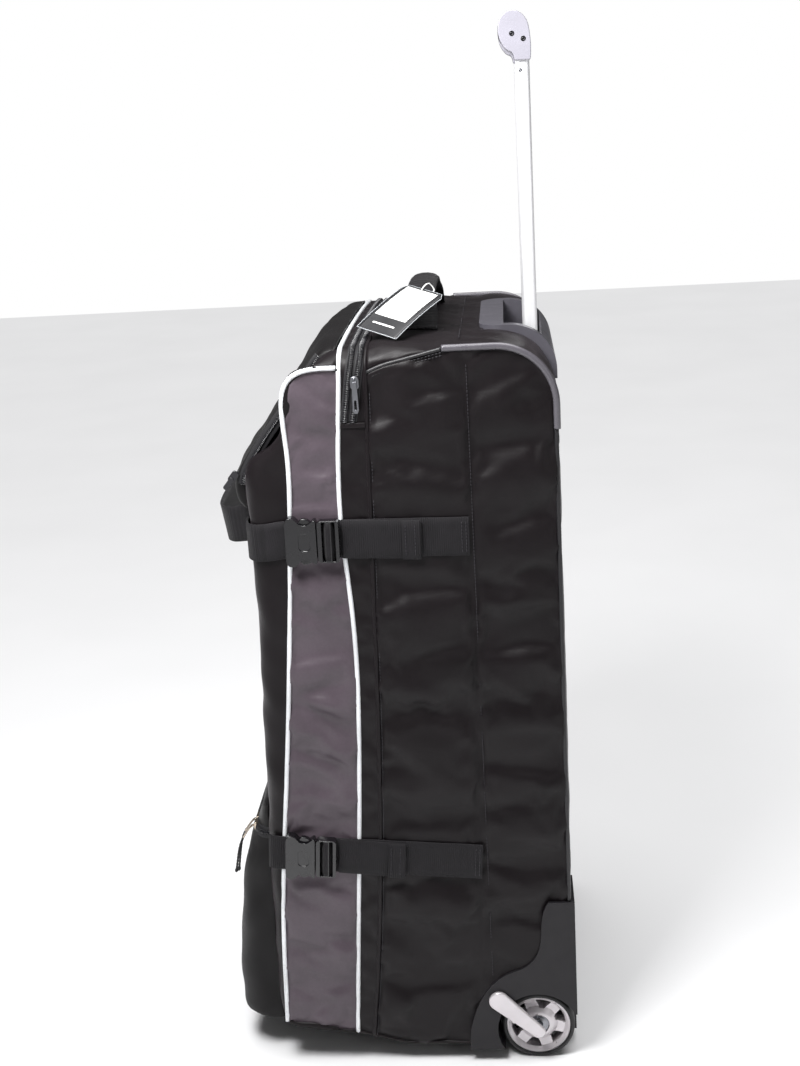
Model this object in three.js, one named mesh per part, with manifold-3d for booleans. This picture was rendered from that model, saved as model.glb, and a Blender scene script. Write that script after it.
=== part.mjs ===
// Rolling duffel bag on two wheels with a telescopic handle.
// Millimetres, +Z up. The front faces -Y, the handle and wheels are at the back (+Y).
// "right" is +X. The origin is on the floor, under the middle of the bag.

import * as THREE from 'three';
import { mergeVertices } from 'three/addons/utils/BufferGeometryUtils.js';
import Module from 'manifold-3d';

const wasm = await Module();
wasm.setup();

// ---------- driving dimensions ----------
const HALF_WIDTH = 180; // outside of the side panels
const FABRIC = 4; // padded fabric wall
const GAP = 0.4; // air between neighbouring pieces
const TOP_Z = 756; // top of the side panels
const BACK_Y = 173; // back face of the fabric
const BOTTOM_Z = 20; // underside between wheels and feet
const CORNER_RADIUS = 56; // top rear corner, seen from the side
const SPLIT_Y = -24; // where the front section starts, at the top
const FRONT_LOW_Y = -134; // front face low down, behind the lower pocket

const WHEEL_Y = 137; // wheel axis
const WHEEL_RADIUS = 38; // 76 mm inline wheel
const WHEEL_IN = 152; // inner face of the tyre
const WHEEL_OUT = 176;
const WELL_RADIUS = 42.5; // wheel well
const WELL_IN = 147.5;
const SHELL_WALL = 3; // moulded plastic wall

const TUBE_X = 68; // handle tubes, to each side
const TUBE_Y = 153;
const INNER_TUBE = [18, 13]; // outside, along X and Y
const OUTER_TUBE = [22, 17];
const TUBE_WALL = 1.2;
const GRIP_TOP_Z = 1047;
const GRIP_FOOT_Z = 1003;
const BEZEL_HALF = 97;
const BEZEL_FLOOR_Z = 712; // bottom of the recess that the grip drops into

const WEBBING = 38; // width of every strap
const BUCKLE_WIDTH = 48;
const BUCKLE_LENGTH = 52;

// ---------- colours ----------
const BLACK_FABRIC = new THREE.Color(0x1b191d);
const GREY_FABRIC = new THREE.Color(0x6e6a74);
const BLACK_WEB = new THREE.Color(0x151417);
const DARK_PLASTIC = new THREE.Color(0x2c2b2e);
const GREY_PLASTIC = new THREE.Color(0x8b8890);
const BOARD = new THREE.Color(0x222222);
const SILVER = new THREE.Color(0xd6d6da);
const STEEL = new THREE.Color(0xa9abb0);
const RUBBER = new THREE.Color(0x171717);
const CARD = new THREE.Color(0x202022);

const bag = new THREE.Group();

// ---------- helpers ----------
function toSolid(geometry) {
  const bare = geometry.clone();
  bare.deleteAttribute('normal');
  bare.deleteAttribute('uv');
  const merged = mergeVertices(bare, 1e-4);
  return new wasm.Manifold(new wasm.Mesh({
    numProp: 3,
    vertProperties: new Float32Array(merged.attributes.position.array),
    triVerts: new Uint32Array(merged.index.array),
  }));
}

function toGeometry(solid) {
  const mesh = solid.getMesh();
  const geometry = new THREE.BufferGeometry();
  geometry.setAttribute('position', new THREE.BufferAttribute(mesh.vertProperties, 3));
  geometry.setIndex(new THREE.BufferAttribute(mesh.triVerts, 1));
  geometry.computeVertexNormals();
  return geometry;
}

// a box from its low and high corners
function box(low, high) {
  const size = high.map((v, i) => v - low[i]);
  const geometry = new THREE.BoxGeometry(...size);
  return geometry.translate(...low.map((v, i) => v + size[i] / 2));
}

function extrude(shape, depth, curveSegments = 8, bevel = 0) {
  return new THREE.ExtrudeGeometry(shape, {
    depth: depth - 2 * bevel,
    curveSegments,
    bevelEnabled: bevel > 0,
    bevelSize: bevel,
    bevelThickness: bevel,
    bevelOffset: -bevel,
    bevelSegments: 1,
  }).translate(0, 0, bevel);
}

// a shape drawn in (Y, Z), from x0 to x1
function alongX(shape, x0, x1, curveSegments = 8, bevel = 0) {
  const turn = new THREE.Matrix4().set(0, 0, 1, x0, 1, 0, 0, 0, 0, 1, 0, 0, 0, 0, 0, 1);
  return extrude(shape, x1 - x0, curveSegments, bevel).applyMatrix4(turn);
}

// a shape drawn in (X, Y), from z0 to z1
function alongZ(shape, z0, z1, curveSegments = 8) {
  return extrude(shape, z1 - z0, curveSegments).translate(0, 0, z0);
}

// a cylinder on an X axis through (y, z)
function rodX(radius, x0, x1, y, z, sides = 24) {
  const geometry = new THREE.CylinderGeometry(radius, radius, x1 - x0, sides);
  return geometry.rotateZ(-Math.PI / 2).translate((x0 + x1) / 2, y, z);
}

function polygon(points) {
  return new THREE.Shape(points.map(([a, b]) => new THREE.Vector2(a, b)));
}

// a rectangle with rounded corners, centred on (cx, cy)
function roundedRect(width, height, radius, cx = 0, cy = 0, Type = THREE.Shape) {
  const [x0, x1] = [cx - width / 2, cx + width / 2];
  const [y0, y1] = [cy - height / 2, cy + height / 2];
  const shape = new Type();
  shape.moveTo(x0 + radius, y0);
  shape.lineTo(x1 - radius, y0);
  shape.absarc(x1 - radius, y0 + radius, radius, -Math.PI / 2, 0);
  shape.lineTo(x1, y1 - radius);
  shape.absarc(x1 - radius, y1 - radius, radius, 0, Math.PI / 2);
  shape.lineTo(x0 + radius, y1);
  shape.absarc(x0 + radius, y1 - radius, radius, Math.PI / 2, Math.PI);
  shape.lineTo(x0, y0 + radius);
  shape.absarc(x0 + radius, y0 + radius, radius, Math.PI, 1.5 * Math.PI);
  return shape;
}

// a solid lathed about an X axis through (y, z); profile points are (radius, x)
function latheX(profile, y, z, segments = 32) {
  const points = profile.map(([r, x]) => new THREE.Vector2(r, x));
  return new THREE.LatheGeometry(points, segments).rotateZ(-Math.PI / 2).translate(0, y, z);
}

function union(...geometries) {
  return geometries.map(toSolid).reduce((all, one) => all.add(one));
}

function cut(solid, ...geometries) {
  return geometries.map(toSolid).reduce((left, one) => left.subtract(one), solid);
}

function mirror(geometry) {
  const flipped = geometry.clone().scale(-1, 1, 1);
  const index = flipped.index ?? mergeVertices(flipped).index;
  const source = flipped.index ? flipped : mergeVertices(flipped);
  const turned = Array.from(index.array);
  for (let i = 0; i < turned.length; i += 3) {
    [turned[i + 1], turned[i + 2]] = [turned[i + 2], turned[i + 1]];
  }
  source.setIndex(turned);
  source.computeVertexNormals();
  return source;
}

function add(name, shape, color, roughness, metalness = 0, parent = bag) {
  const geometry = shape.isBufferGeometry ? shape : toGeometry(shape);
  const material = new THREE.MeshStandardMaterial({ color, roughness, metalness });
  const mesh = new THREE.Mesh(geometry, material);
  mesh.name = name;
  parent.add(mesh);
  return mesh;
}

// one solid on the right and its mirror image on the left
function addPair(name, solid, color, roughness, metalness = 0) {
  const geometry = solid.isBufferGeometry ? solid : toGeometry(solid);
  add(`${name}_right`, geometry, color, roughness, metalness);
  add(`${name}_left`, mirror(toGeometry(toSolid(geometry))), color, roughness, metalness);
}

// ---------- seam lines seen from the side, as points of (Y, Z) ----------
const rearSeam = new THREE.CubicBezierCurve( // front edge of the side panels
  new THREE.Vector2(0, TOP_Z), new THREE.Vector2(-8, 520),
  new THREE.Vector2(-6, 260), new THREE.Vector2(-36, 31),
);
const rearPiping = new THREE.SplineCurve([ // back edge of the grey gussets
  new THREE.Vector2(SPLIT_Y, TOP_Z), new THREE.Vector2(-33, 610),
  new THREE.Vector2(-28, 420), new THREE.Vector2(-53, 36),
]);
const frontPiping = new THREE.SplineCurve([ // front edge of the grey gussets
  new THREE.Vector2(-81, 700), new THREE.Vector2(-80, 620),
  new THREE.Vector2(-97, 415), new THREE.Vector2(-120, 193), new THREE.Vector2(-127, 50),
]);

const FRONT_STEPS = 9;
function gussetShape(grow) {
  const back = rearPiping.getPoints(10).filter((p) => p.y < 734).reverse();
  const front = frontPiping.getPoints(FRONT_STEPS);
  const shape = new THREE.Shape();
  shape.moveTo(back[0].x - GAP + grow, back[0].y - grow);
  back.slice(1).forEach((p) => shape.lineTo(p.x - GAP + grow, p.y));
  shape.lineTo(-27 + grow, 743 + grow);
  shape.lineTo(-50, 743 + grow);
  shape.quadraticCurveTo(-74 - grow, 741 + grow, front[0].x - grow, front[0].y);
  front.slice(1).forEach((p) => shape.lineTo(p.x - grow, p.y));
  shape.lineTo(front[FRONT_STEPS].x - grow, front[FRONT_STEPS].y - grow);
  return shape;
}

// ---------- rear section ----------
const inner = HALF_WIDTH - FABRIC;
const cornerY = BACK_Y - CORNER_RADIUS;
const cornerZ = TOP_Z - CORNER_RADIUS;
const wellCut = rodX(WELL_RADIUS + SHELL_WALL + GAP, 144, 200, WHEEL_Y, WHEEL_RADIUS, 32);

function panelShape() {
  const seam = rearSeam.getPoints(12);
  const shape = new THREE.Shape();
  shape.moveTo(seam[0].x + GAP, seam[0].y);
  seam.slice(1).forEach((p) => shape.lineTo(p.x + GAP, p.y));
  shape.lineTo(0, BOTTOM_Z);
  shape.lineTo(BACK_Y, BOTTOM_Z);
  shape.lineTo(BACK_Y, cornerZ);
  shape.absarc(cornerY, cornerZ, CORNER_RADIUS, 0, Math.PI / 2);
  return shape;
}

// grey moulded piping round the top rear corner
const GUARD_RADIUS = 3.4;
const guardX = HALF_WIDTH + 0.2;
function guardPath() {
  const arc = [];
  for (let i = 0; i <= 8; i += 1) {
    const angle = Math.PI / 2 - (i / 8) * Math.PI / 2;
    arc.push(new THREE.Vector3(guardX, cornerY + CORNER_RADIUS * Math.cos(angle),
      cornerZ + CORNER_RADIUS * Math.sin(angle)));
  }
  const points = [
    new THREE.Vector3(guardX, 71, TOP_Z), new THREE.Vector3(guardX, 94, TOP_Z),
    ...arc, new THREE.Vector3(guardX, BACK_Y, 676),
  ];
  return new THREE.CatmullRomCurve3(points);
}
function guard(radius) {
  const section = new THREE.Shape().absarc(0, 0, radius, 0, 2 * Math.PI);
  return new THREE.ExtrudeGeometry(section, {
    extrudePath: guardPath(), steps: 14, curveSegments: 3, bevelEnabled: false,
  });
}

const sidePanel = cut(toSolid(alongX(panelShape(), inner, HALF_WIDTH)), wellCut,
  guard(GUARD_RADIUS + GAP));
addPair('side_panel', sidePanel, BLACK_FABRIC, 0.8);
addPair('corner_guard', toSolid(guard(GUARD_RADIUS)), GREY_PLASTIC, 0.35);

function topShape() {
  const shape = new THREE.Shape();
  shape.moveTo(GAP, TOP_Z);
  shape.lineTo(GAP, TOP_Z - FABRIC);
  shape.lineTo(cornerY, TOP_Z - FABRIC);
  shape.absarc(cornerY, cornerZ, CORNER_RADIUS - FABRIC, Math.PI / 2, 0, true);
  shape.lineTo(BACK_Y, cornerZ);
  shape.absarc(cornerY, cornerZ, CORNER_RADIUS, 0, Math.PI / 2);
  return shape;
}
const webIn = inner - GAP;
const topPanel = cut(toSolid(alongX(topShape(), -webIn, webIn)),
  box([-BEZEL_HALF - 0.6, 102.4, 707.4], [BEZEL_HALF + 0.6, 200, 800]));
add('top_panel', topPanel, BLACK_FABRIC, 0.8);

const backPanel = cut(
  toSolid(box([-webIn, BACK_Y - FABRIC, BOTTOM_Z + FABRIC + GAP], [webIn, BACK_Y, cornerZ - GAP])),
  wellCut, mirror(wellCut));
add('back_panel', backPanel, BLACK_FABRIC, 0.8);

const bottomShape = polygon([
  [BACK_Y, BOTTOM_Z], [BACK_Y, BOTTOM_Z + FABRIC], [0, BOTTOM_Z + FABRIC],
  [-36, 34], [-52.4, 38], [-52.4, 34], [-36, 30], [0, BOTTOM_Z],
]);
const bottomPanel = cut(toSolid(alongX(bottomShape, -webIn, webIn)), wellCut, mirror(wellCut));
add('bottom_panel', bottomPanel, BLACK_FABRIC, 0.8);

add('back_board', box([-141, 164, 28], [141, 167, 690]), BOARD, 0.7);
add('base_board', box([-168, 1, BOTTOM_Z + FABRIC + GAP], [168, 88, 27.6]), BOARD, 0.7);

// ---------- zip flap: down one side, over the top, down the other ----------
function flapShape() {
  const back = rearSeam.getPoints(12);
  const front = rearPiping.getPoints(10).reverse();
  const shape = new THREE.Shape();
  shape.moveTo(back[0].x - GAP, TOP_Z);
  back.slice(1).forEach((p) => shape.lineTo(p.x - GAP, p.y));
  front.forEach((p) => shape.lineTo(p.x + GAP, p.y));
  return shape;
}
const flapSide = alongX(flapShape(), inner, HALF_WIDTH);
const flapTop = box([-inner - 0.5, SPLIT_Y + GAP, TOP_Z - FABRIC], [inner + 0.5, -GAP, TOP_Z]);
add('zip_flap', union(flapSide, mirror(flapSide), flapTop), BLACK_FABRIC, 0.75);

// ---------- front section ----------
const gusset = alongX(gussetShape(0), inner, HALF_WIDTH);
addPair('gusset', toSolid(gusset), GREY_FABRIC, 0.6);

function frontProfile(inset) {
  return polygon([
    [SPLIT_Y - GAP, TOP_Z - inset], [-38 + inset / 2, 749 - inset], [-125 + inset, 640 - inset / 2],
    [-124 + inset, 480], [-127 + inset, 400], [-131 + inset, 300],
    [FRONT_LOW_Y + inset, 62], [-126 + inset, 46 + inset], [-53, 34.5 + inset],
    [-53 + 3 * inset, 34.5 + inset], [SPLIT_Y - GAP + 3 * inset, TOP_Z - inset],
  ].filter((p, i) => inset > 0 || i < 9));
}
function frontPlan(half, front, radius) {
  const shape = new THREE.Shape();
  shape.moveTo(-half, 0);
  shape.lineTo(-half, front + radius);
  shape.absarc(-half + radius, front + radius, radius, Math.PI, 1.5 * Math.PI);
  shape.lineTo(half - radius, front);
  shape.absarc(half - radius, front + radius, radius, -Math.PI / 2, 0);
  shape.lineTo(half, 0);
  return shape;
}
const frontBlock = toSolid(alongX(frontProfile(0), -HALF_WIDTH, HALF_WIDTH))
  .intersect(toSolid(alongZ(frontPlan(HALF_WIDTH, FRONT_LOW_Y, 16), 0, 800)));
const gussetRoom = alongX(gussetShape(2 * GAP), inner - 3, HALF_WIDTH + 3);
const behindPiping = alongX(new THREE.Shape([
  ...rearPiping.getPoints(10), new THREE.Vector2(50, 30), new THREE.Vector2(50, 760),
]), inner - 3, HALF_WIDTH + 3);
const frontCover = cut(
  frontBlock.subtract(toSolid(alongX(frontProfile(FABRIC), -inner + 0.5, inner - 0.5))),
  gussetRoom, mirror(gussetRoom), behindPiping, mirror(behindPiping));
add('front_cover', frontCover, BLACK_FABRIC, 0.8);

const POCKET_HALF = 158;
const POCKET_FRONT = -177.4;
const pocketPlan = alongZ(frontPlan(POCKET_HALF, POCKET_FRONT, 34), 0, 800);
const frontRoom = alongX(frontProfile(0), -HALF_WIDTH - 1, HALF_WIDTH + 1).translate(0, -0.5, 0.3);

const upperOutline = new THREE.Shape();
upperOutline.moveTo(-31, 752.6);
upperOutline.quadraticCurveTo(-45, 753, -53, 744);
upperOutline.lineTo(-145, 632);
upperOutline.quadraticCurveTo(-150, 624, -149, 612);
upperOutline.lineTo(-120, 606);
upperOutline.lineTo(-40, 740);
const upperPocket = cut(toSolid(alongX(upperOutline, -POCKET_HALF, POCKET_HALF))
  .intersect(toSolid(pocketPlan)), frontRoom);
add('upper_pocket', upperPocket, BLACK_FABRIC, 0.8);

const lowerOutline = new THREE.Shape();
lowerOutline.moveTo(-128, 290);
lowerOutline.lineTo(-140, 286);
lowerOutline.lineTo(-147, 250);
lowerOutline.quadraticCurveTo(-172, 205, POCKET_FRONT, 104);
lowerOutline.lineTo(POCKET_FRONT, 56);
lowerOutline.quadraticCurveTo(-176, 42, -164, 41);
lowerOutline.lineTo(-120, 41);
const lowerPocket = cut(toSolid(alongX(lowerOutline, -POCKET_HALF, POCKET_HALF))
  .intersect(toSolid(pocketPlan)), frontRoom, box([-200, -133, 0], [200, 0, 60]));
add('lower_pocket', lowerPocket, BLACK_FABRIC, 0.8);

// ---------- webbing handles ----------
const LOOP_Z = [558, 596];
const BAND_BACK = -126;
const loopShape = new THREE.Shape(); // drawn in (X, Y)
loopShape.moveTo(-150, BAND_BACK);
loopShape.lineTo(-150, BAND_BACK - 1.6);
loopShape.lineTo(-88, BAND_BACK - 1.6);
loopShape.bezierCurveTo(-70, -152, -50, -162, 0, -163);
loopShape.bezierCurveTo(50, -162, 70, -152, 88, BAND_BACK - 1.6);
loopShape.lineTo(150, BAND_BACK - 1.6);
loopShape.lineTo(150, BAND_BACK);
const loopHole = new THREE.Path();
loopHole.moveTo(-80, BAND_BACK - 1.9);
loopHole.lineTo(80, BAND_BACK - 1.9);
loopHole.bezierCurveTo(64, -149, 48, -159.5, 0, -160.4);
loopHole.bezierCurveTo(-48, -159.5, -64, -149, -80, BAND_BACK - 1.9);
loopShape.holes.push(loopHole);
add('grab_loop', alongZ(loopShape, ...LOOP_Z, 6), BLACK_WEB, 0.7);

const HANDLE_Y = 47;
const HANDLE_REACH = 92;
const handleZ = TOP_Z + GAP;
const handleShape = new THREE.Shape(); // drawn in (X, Z)
handleShape.moveTo(-HANDLE_REACH - 14, handleZ);
handleShape.lineTo(-HANDLE_REACH + 4, handleZ);
handleShape.bezierCurveTo(-74, handleZ + 26, -56, 795, 0, 796);
handleShape.bezierCurveTo(56, 795, 74, handleZ + 26, HANDLE_REACH - 4, handleZ);
handleShape.lineTo(HANDLE_REACH + 14, handleZ);
handleShape.lineTo(HANDLE_REACH + 14, handleZ + 3);
handleShape.lineTo(HANDLE_REACH, handleZ + 3);
handleShape.bezierCurveTo(82, handleZ + 34, 60, 803, 0, 804);
handleShape.bezierCurveTo(-60, 803, -82, handleZ + 34, -HANDLE_REACH, handleZ + 3);
handleShape.lineTo(-HANDLE_REACH - 14, handleZ + 3);
const handleWidth = 34;
add('top_handle', extrude(handleShape, handleWidth, 6).rotateX(Math.PI / 2)
  .translate(0, HANDLE_Y + handleWidth / 2, 0), BLACK_WEB, 0.75);

// ---------- compression straps with side-release buckles ----------
// drawn level, with u along +Y from the front end of the buckle, v up, and x out from the panel
function buckleFemale() {
  const outline = roundedRect(30, BUCKLE_WIDTH, 6, 15, 0);
  return cut(toSolid(alongX(outline, 182, 194, 1, 1.6)),
    box([184.4, 8, -18], [191.6, 40, 18]),
    box([183.2, 13, -30], [192.8, 22, -16]),
    box([183.2, 13, 16], [192.8, 22, 30]),
    box([180, 3, -19.5], [185.5, 6, 19.5]));
}
function buckleMale() {
  const outline = roundedRect(21, BUCKLE_WIDTH - 6, 4, 41.5, 0);
  const prong = polygon([[10, 12], [15, 17.2], [21, 17.2], [25, 14.5], [33, 14.5], [33, 10], [14, 10]]);
  const prongUp = alongX(prong, 185, 191);
  const flipped = prong.getPoints().map((p) => [p.x, -p.y]).reverse();
  const prongDown = alongX(polygon(flipped), 185, 191);
  const guide = box([185.6, 12, -2.5], [190.4, 34, 2.5]);
  return cut(union(alongX(outline, 182, 193, 1, 1.2), prongUp, prongDown, guide),
    box([178, 36, -19.2], [200, 39, 19.2]), box([178, 43.5, -19.2], [200, 47, 19.2]));
}
function strap(length, tail) {
  const half = WEBBING / 2;
  return union(
    box([180.5, 52.6, -half], [182.3, length, half]),
    box([182.2, 52.6, -half], [184.0, tail, half]),
    box([183.9, tail - 16, -half], [185.6, tail, half]));
}
const STRAPS = {
  upper: { y: -86, z: 580, tilt: 0.8, length: 174, tail: 127 },
  lower: { y: -112, z: 249, tilt: 4.2, length: 199, tail: 120 },
};
Object.entries(STRAPS).forEach(([level, { y, z, tilt, length, tail }]) => {
  const place = (geometry) => geometry.rotateX(THREE.MathUtils.degToRad(-tilt)).translate(0, y, z);
  const pieces = {
    strap: [strap(length, tail), BLACK_WEB, 0.7],
    buckle_female: [buckleFemale(), DARK_PLASTIC, 0.4],
    buckle_male: [buckleMale(), DARK_PLASTIC, 0.4],
  };
  Object.entries(pieces).forEach(([name, [solid, color, roughness]]) => {
    addPair(`${level}_${name}`, toSolid(place(toGeometry(solid))), color, roughness);
  });
});

// ---------- telescopic handle ----------
function tube([width, depth], radius, z0, z1) {
  const outline = roundedRect(width, depth, radius);
  const bore = [width - 2 * TUBE_WALL, depth - 2 * TUBE_WALL];
  outline.holes.push(roundedRect(...bore, radius - TUBE_WALL, 0, 0, THREE.Path));
  return alongZ(outline, z0, z1, 1).translate(TUBE_X, TUBE_Y, 0);
}
const TUBE_TOP = 1016;
addPair('outer_tube', toSolid(tube(OUTER_TUBE, 4, 62, 705)), STEEL, 0.4, 0.9);
addPair('inner_tube', toSolid(tube(INNER_TUBE, 3.4, 640, TUBE_TOP)), SILVER, 0.35, 0.9);

const bracketPlugs = [-TUBE_X, TUBE_X].map((x) => box([x - 8, TUBE_Y - 5.5, 50], [x + 8, TUBE_Y + 5.5, 84]));
add('tube_bracket', union(box([-92, 143, 28], [92, 162, 61.5]), ...bracketPlugs), DARK_PLASTIC, 0.5);

const bezelTop = TOP_Z + 6;
const bezelRadius = 45;
const bezelCentre = [177 - bezelRadius, bezelTop - bezelRadius];
function bezelProfile(inset) {
  const shape = new THREE.Shape();
  shape.moveTo(103, bezelTop - inset);
  shape.lineTo(bezelCentre[0], bezelTop - inset);
  shape.absarc(...bezelCentre, bezelRadius - inset, Math.PI / 2, 0, true);
  shape.lineTo(bezelCentre[0] + bezelRadius - inset, 708);
  if (inset > 0) {
    shape.lineTo(90, 690);
    shape.lineTo(90, bezelTop - inset);
  } else {
    shape.lineTo(103, 708);
  }
  return shape;
}
const bezelPlan = new THREE.Shape(); // rounded front corners
bezelPlan.moveTo(-BEZEL_HALF, 200);
bezelPlan.lineTo(-BEZEL_HALF, 125);
bezelPlan.absarc(-BEZEL_HALF + 22, 125, 22, Math.PI, 1.5 * Math.PI);
bezelPlan.lineTo(BEZEL_HALF - 22, 103);
bezelPlan.absarc(BEZEL_HALF - 22, 125, 22, -Math.PI / 2, 0);
bezelPlan.lineTo(BEZEL_HALF, 200);
const bezelBlock = toSolid(alongX(bezelProfile(0), -BEZEL_HALF, BEZEL_HALF, 10))
  .intersect(toSolid(alongZ(bezelPlan, 650, 800, 6)));
const recessHalf = 84;
const tub = toSolid(box([-recessHalf - 3, 123.5, BEZEL_FLOOR_Z - 4], [recessHalf + 3, 167, 757]))
  .intersect(toSolid(alongX(bezelProfile(0), -BEZEL_HALF, BEZEL_HALF, 10)));
const tubeHole = roundedRect(INNER_TUBE[0] + 1.4, INNER_TUBE[1] + 1.4, 3.4, TUBE_X, TUBE_Y);
const bezel = cut(
  bezelBlock.subtract(toSolid(alongX(bezelProfile(9), -BEZEL_HALF - 5, BEZEL_HALF + 5, 10))).add(tub),
  box([-recessHalf, 126.5, BEZEL_FLOOR_Z], [recessHalf, 164, 800]),
  alongZ(tubeHole, 690, 730, 1), mirror(alongZ(tubeHole, 690, 730, 1)));
add('handle_bezel', bezel, DARK_PLASTIC, 0.4);

const capCurve = new THREE.SplineCurve([
  [144.8, 1006], [139, 1011], [133, 1019], [131, 1030], [134.5, 1042], [142, 1047],
  [152, 1043.5], [158.5, 1034], [161.2, 1020], [161.4, 1006],
].map(([y, z]) => new THREE.Vector2(y, z)));
const capShape = new THREE.Shape([
  new THREE.Vector2(161.4, GRIP_FOOT_Z), new THREE.Vector2(144.8, GRIP_FOOT_Z),
  ...capCurve.getPoints(14),
]);
const capIn = TUBE_X - 13;
const capOut = TUBE_X + 13;
const tubeSocket = alongZ(
  roundedRect(INNER_TUBE[0] + 0.8, INNER_TUBE[1] + 0.8, 3, TUBE_X, TUBE_Y), 990, TUBE_TOP + GAP, 3);
addPair('grip_cap', cut(toSolid(alongX(capShape, capIn, capOut, 8, 2.5)), tubeSocket),
  GREY_PLASTIC, 0.35);

const BUTTON = { half: 14, y: 144, depth: 10, low: 1038, top: GRIP_TOP_Z };
const gripShape = new THREE.Shape().absellipse(144, 1031.5, 13, 14, 0, 2 * Math.PI);
const buttonWell = box([-BUTTON.half - GAP, BUTTON.y - BUTTON.depth / 2 - GAP, 1026],
  [BUTTON.half + GAP, BUTTON.y + BUTTON.depth / 2 + GAP, 1100]);
add('grip_bar', cut(toSolid(alongX(gripShape, -capIn + GAP, capIn - GAP, 12)), buttonWell),
  DARK_PLASTIC, 0.6);
add('grip_button', box([-BUTTON.half, BUTTON.y - BUTTON.depth / 2, BUTTON.low],
  [BUTTON.half, BUTTON.y + BUTTON.depth / 2, BUTTON.top]), DARK_PLASTIC, 0.4);

class Helix extends THREE.Curve {
  getPoint(t) {
    const turn = t * 4 * 2 * Math.PI;
    return new THREE.Vector3(3 * Math.cos(turn), BUTTON.y + 3 * Math.sin(turn), 1027 + t * 10);
  }
}
const wire = new THREE.Shape().absarc(0, 0, 0.45, 0, 2 * Math.PI);
add('button_spring', new THREE.ExtrudeGeometry(wire, {
  extrudePath: new Helix(), steps: 32, curveSegments: 2, bevelEnabled: false,
}), STEEL, 0.3, 1);

// ---------- wheels and their moulded housings ----------
const housingShape = new THREE.Shape(); // drawn in (Y, Z)
housingShape.moveTo(177.4, 14.5);
housingShape.lineTo(177.4, 187);
housingShape.lineTo(151, 187);
housingShape.quadraticCurveTo(143, 178, 142.5, 149);
housingShape.quadraticCurveTo(141, 116, 115, 108);
housingShape.quadraticCurveTo(78, 96, 66, 37);
housingShape.lineTo(65, 14.5);
const skinIn = HALF_WIDTH + GAP;
const housingOut = skinIn + SHELL_WALL;
const backWrap = alongX(polygon([
  [BACK_Y + GAP, 19.5], [177.4, 19.5], [177.4, 187], [BACK_Y + GAP, 187],
]), 128, housingOut);
const bottomWrap = box([128, 66, 14.5], [housingOut, 177.4, BOTTOM_Z - GAP]);
const wellWall = rodX(WELL_RADIUS + SHELL_WALL, WELL_IN - SHELL_WALL, housingOut,
  WHEEL_Y, WHEEL_RADIUS, 32);
const AXLE_RADIUS = 4;
const housing = cut(
  union(alongX(housingShape, skinIn, housingOut, 8), backWrap, bottomWrap, wellWall),
  rodX(WELL_RADIUS, WELL_IN, 200, WHEEL_Y, WHEEL_RADIUS, 32),
  box([100, 0, -20], [200, 200, 14.5]),
  box([WELL_IN, 165, -20], [200, 200, 56]),
  box([100, 177.4, -20], [200, 200, 200]),
  rodX(AXLE_RADIUS + GAP, 140, 150, WHEEL_Y, WHEEL_RADIUS, 20));
addPair('wheel_housing', housing, DARK_PLASTIC, 0.5);

const TREAD = 4.5;
const rimRadius = WHEEL_RADIUS - TREAD - 0.3;
const tyreProfile = [
  [rimRadius + 0.3, WHEEL_IN], [rimRadius + 0.3, WHEEL_OUT], [WHEEL_RADIUS - 2, WHEEL_OUT],
  [WHEEL_RADIUS - 0.5, WHEEL_OUT - 4], [WHEEL_RADIUS, WHEEL_OUT - 8], [WHEEL_RADIUS, WHEEL_IN + 8],
  [WHEEL_RADIUS - 0.5, WHEEL_IN + 4], [WHEEL_RADIUS - 2, WHEEL_IN], [rimRadius + 0.3, WHEEL_IN],
].reverse();
addPair('tyre', toSolid(latheX(tyreProfile, WHEEL_Y, WHEEL_RADIUS, 32)), RUBBER, 0.7);

const SPOKES = 6;
const BEARING_RADIUS = 11;
const windows = [];
for (let i = 0; i < SPOKES; i += 1) {
  const [from, to] = [0.36, 2 * Math.PI / SPOKES - 0.36].map((a) => a + (i / SPOKES) * 2 * Math.PI);
  const hole = new THREE.Shape();
  hole.absarc(0, 0, 28.5, from - 0.06, to + 0.06, false);
  hole.absarc(0, 0, 17.5, to, from, true);
  windows.push(alongX(hole, 150, 180, 1).translate(0, WHEEL_Y, WHEEL_RADIUS));
}
const spokes = cut(toSolid(rodX(31, 158, 172, WHEEL_Y, WHEEL_RADIUS, 24)), ...windows);
const ring = latheX([[30, 154], [rimRadius, 154], [rimRadius, 174.5], [30, 174.5], [30, 154]],
  WHEEL_Y, WHEEL_RADIUS, 32);
const hub = rodX(15.5, 155, 174.5, WHEEL_Y, WHEEL_RADIUS, 24);
const rim = cut(spokes.add(toSolid(ring)).add(toSolid(hub)),
  rodX(BEARING_RADIUS + 0.3, 150, 180, WHEEL_Y, WHEEL_RADIUS, 24));
addPair('wheel_rim', rim, SILVER, 0.3, 0.8);

const bearing = cut(toSolid(rodX(BEARING_RADIUS, 156, 174, WHEEL_Y, WHEEL_RADIUS, 24)),
  rodX(AXLE_RADIUS + 0.15, 150, 180, WHEEL_Y, WHEEL_RADIUS, 20));
addPair('bearing', bearing, STEEL, 0.3, 1);

const strutIn = housingOut + GAP;
const strutOut = strutIn + 4.6;
const axle = union(rodX(AXLE_RADIUS, 136, strutIn + 2.4, WHEEL_Y, WHEEL_RADIUS, 20),
  rodX(7, 137, 144, WHEEL_Y, WHEEL_RADIUS, 6));
addPair('axle', axle, STEEL, 0.3, 1);

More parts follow.
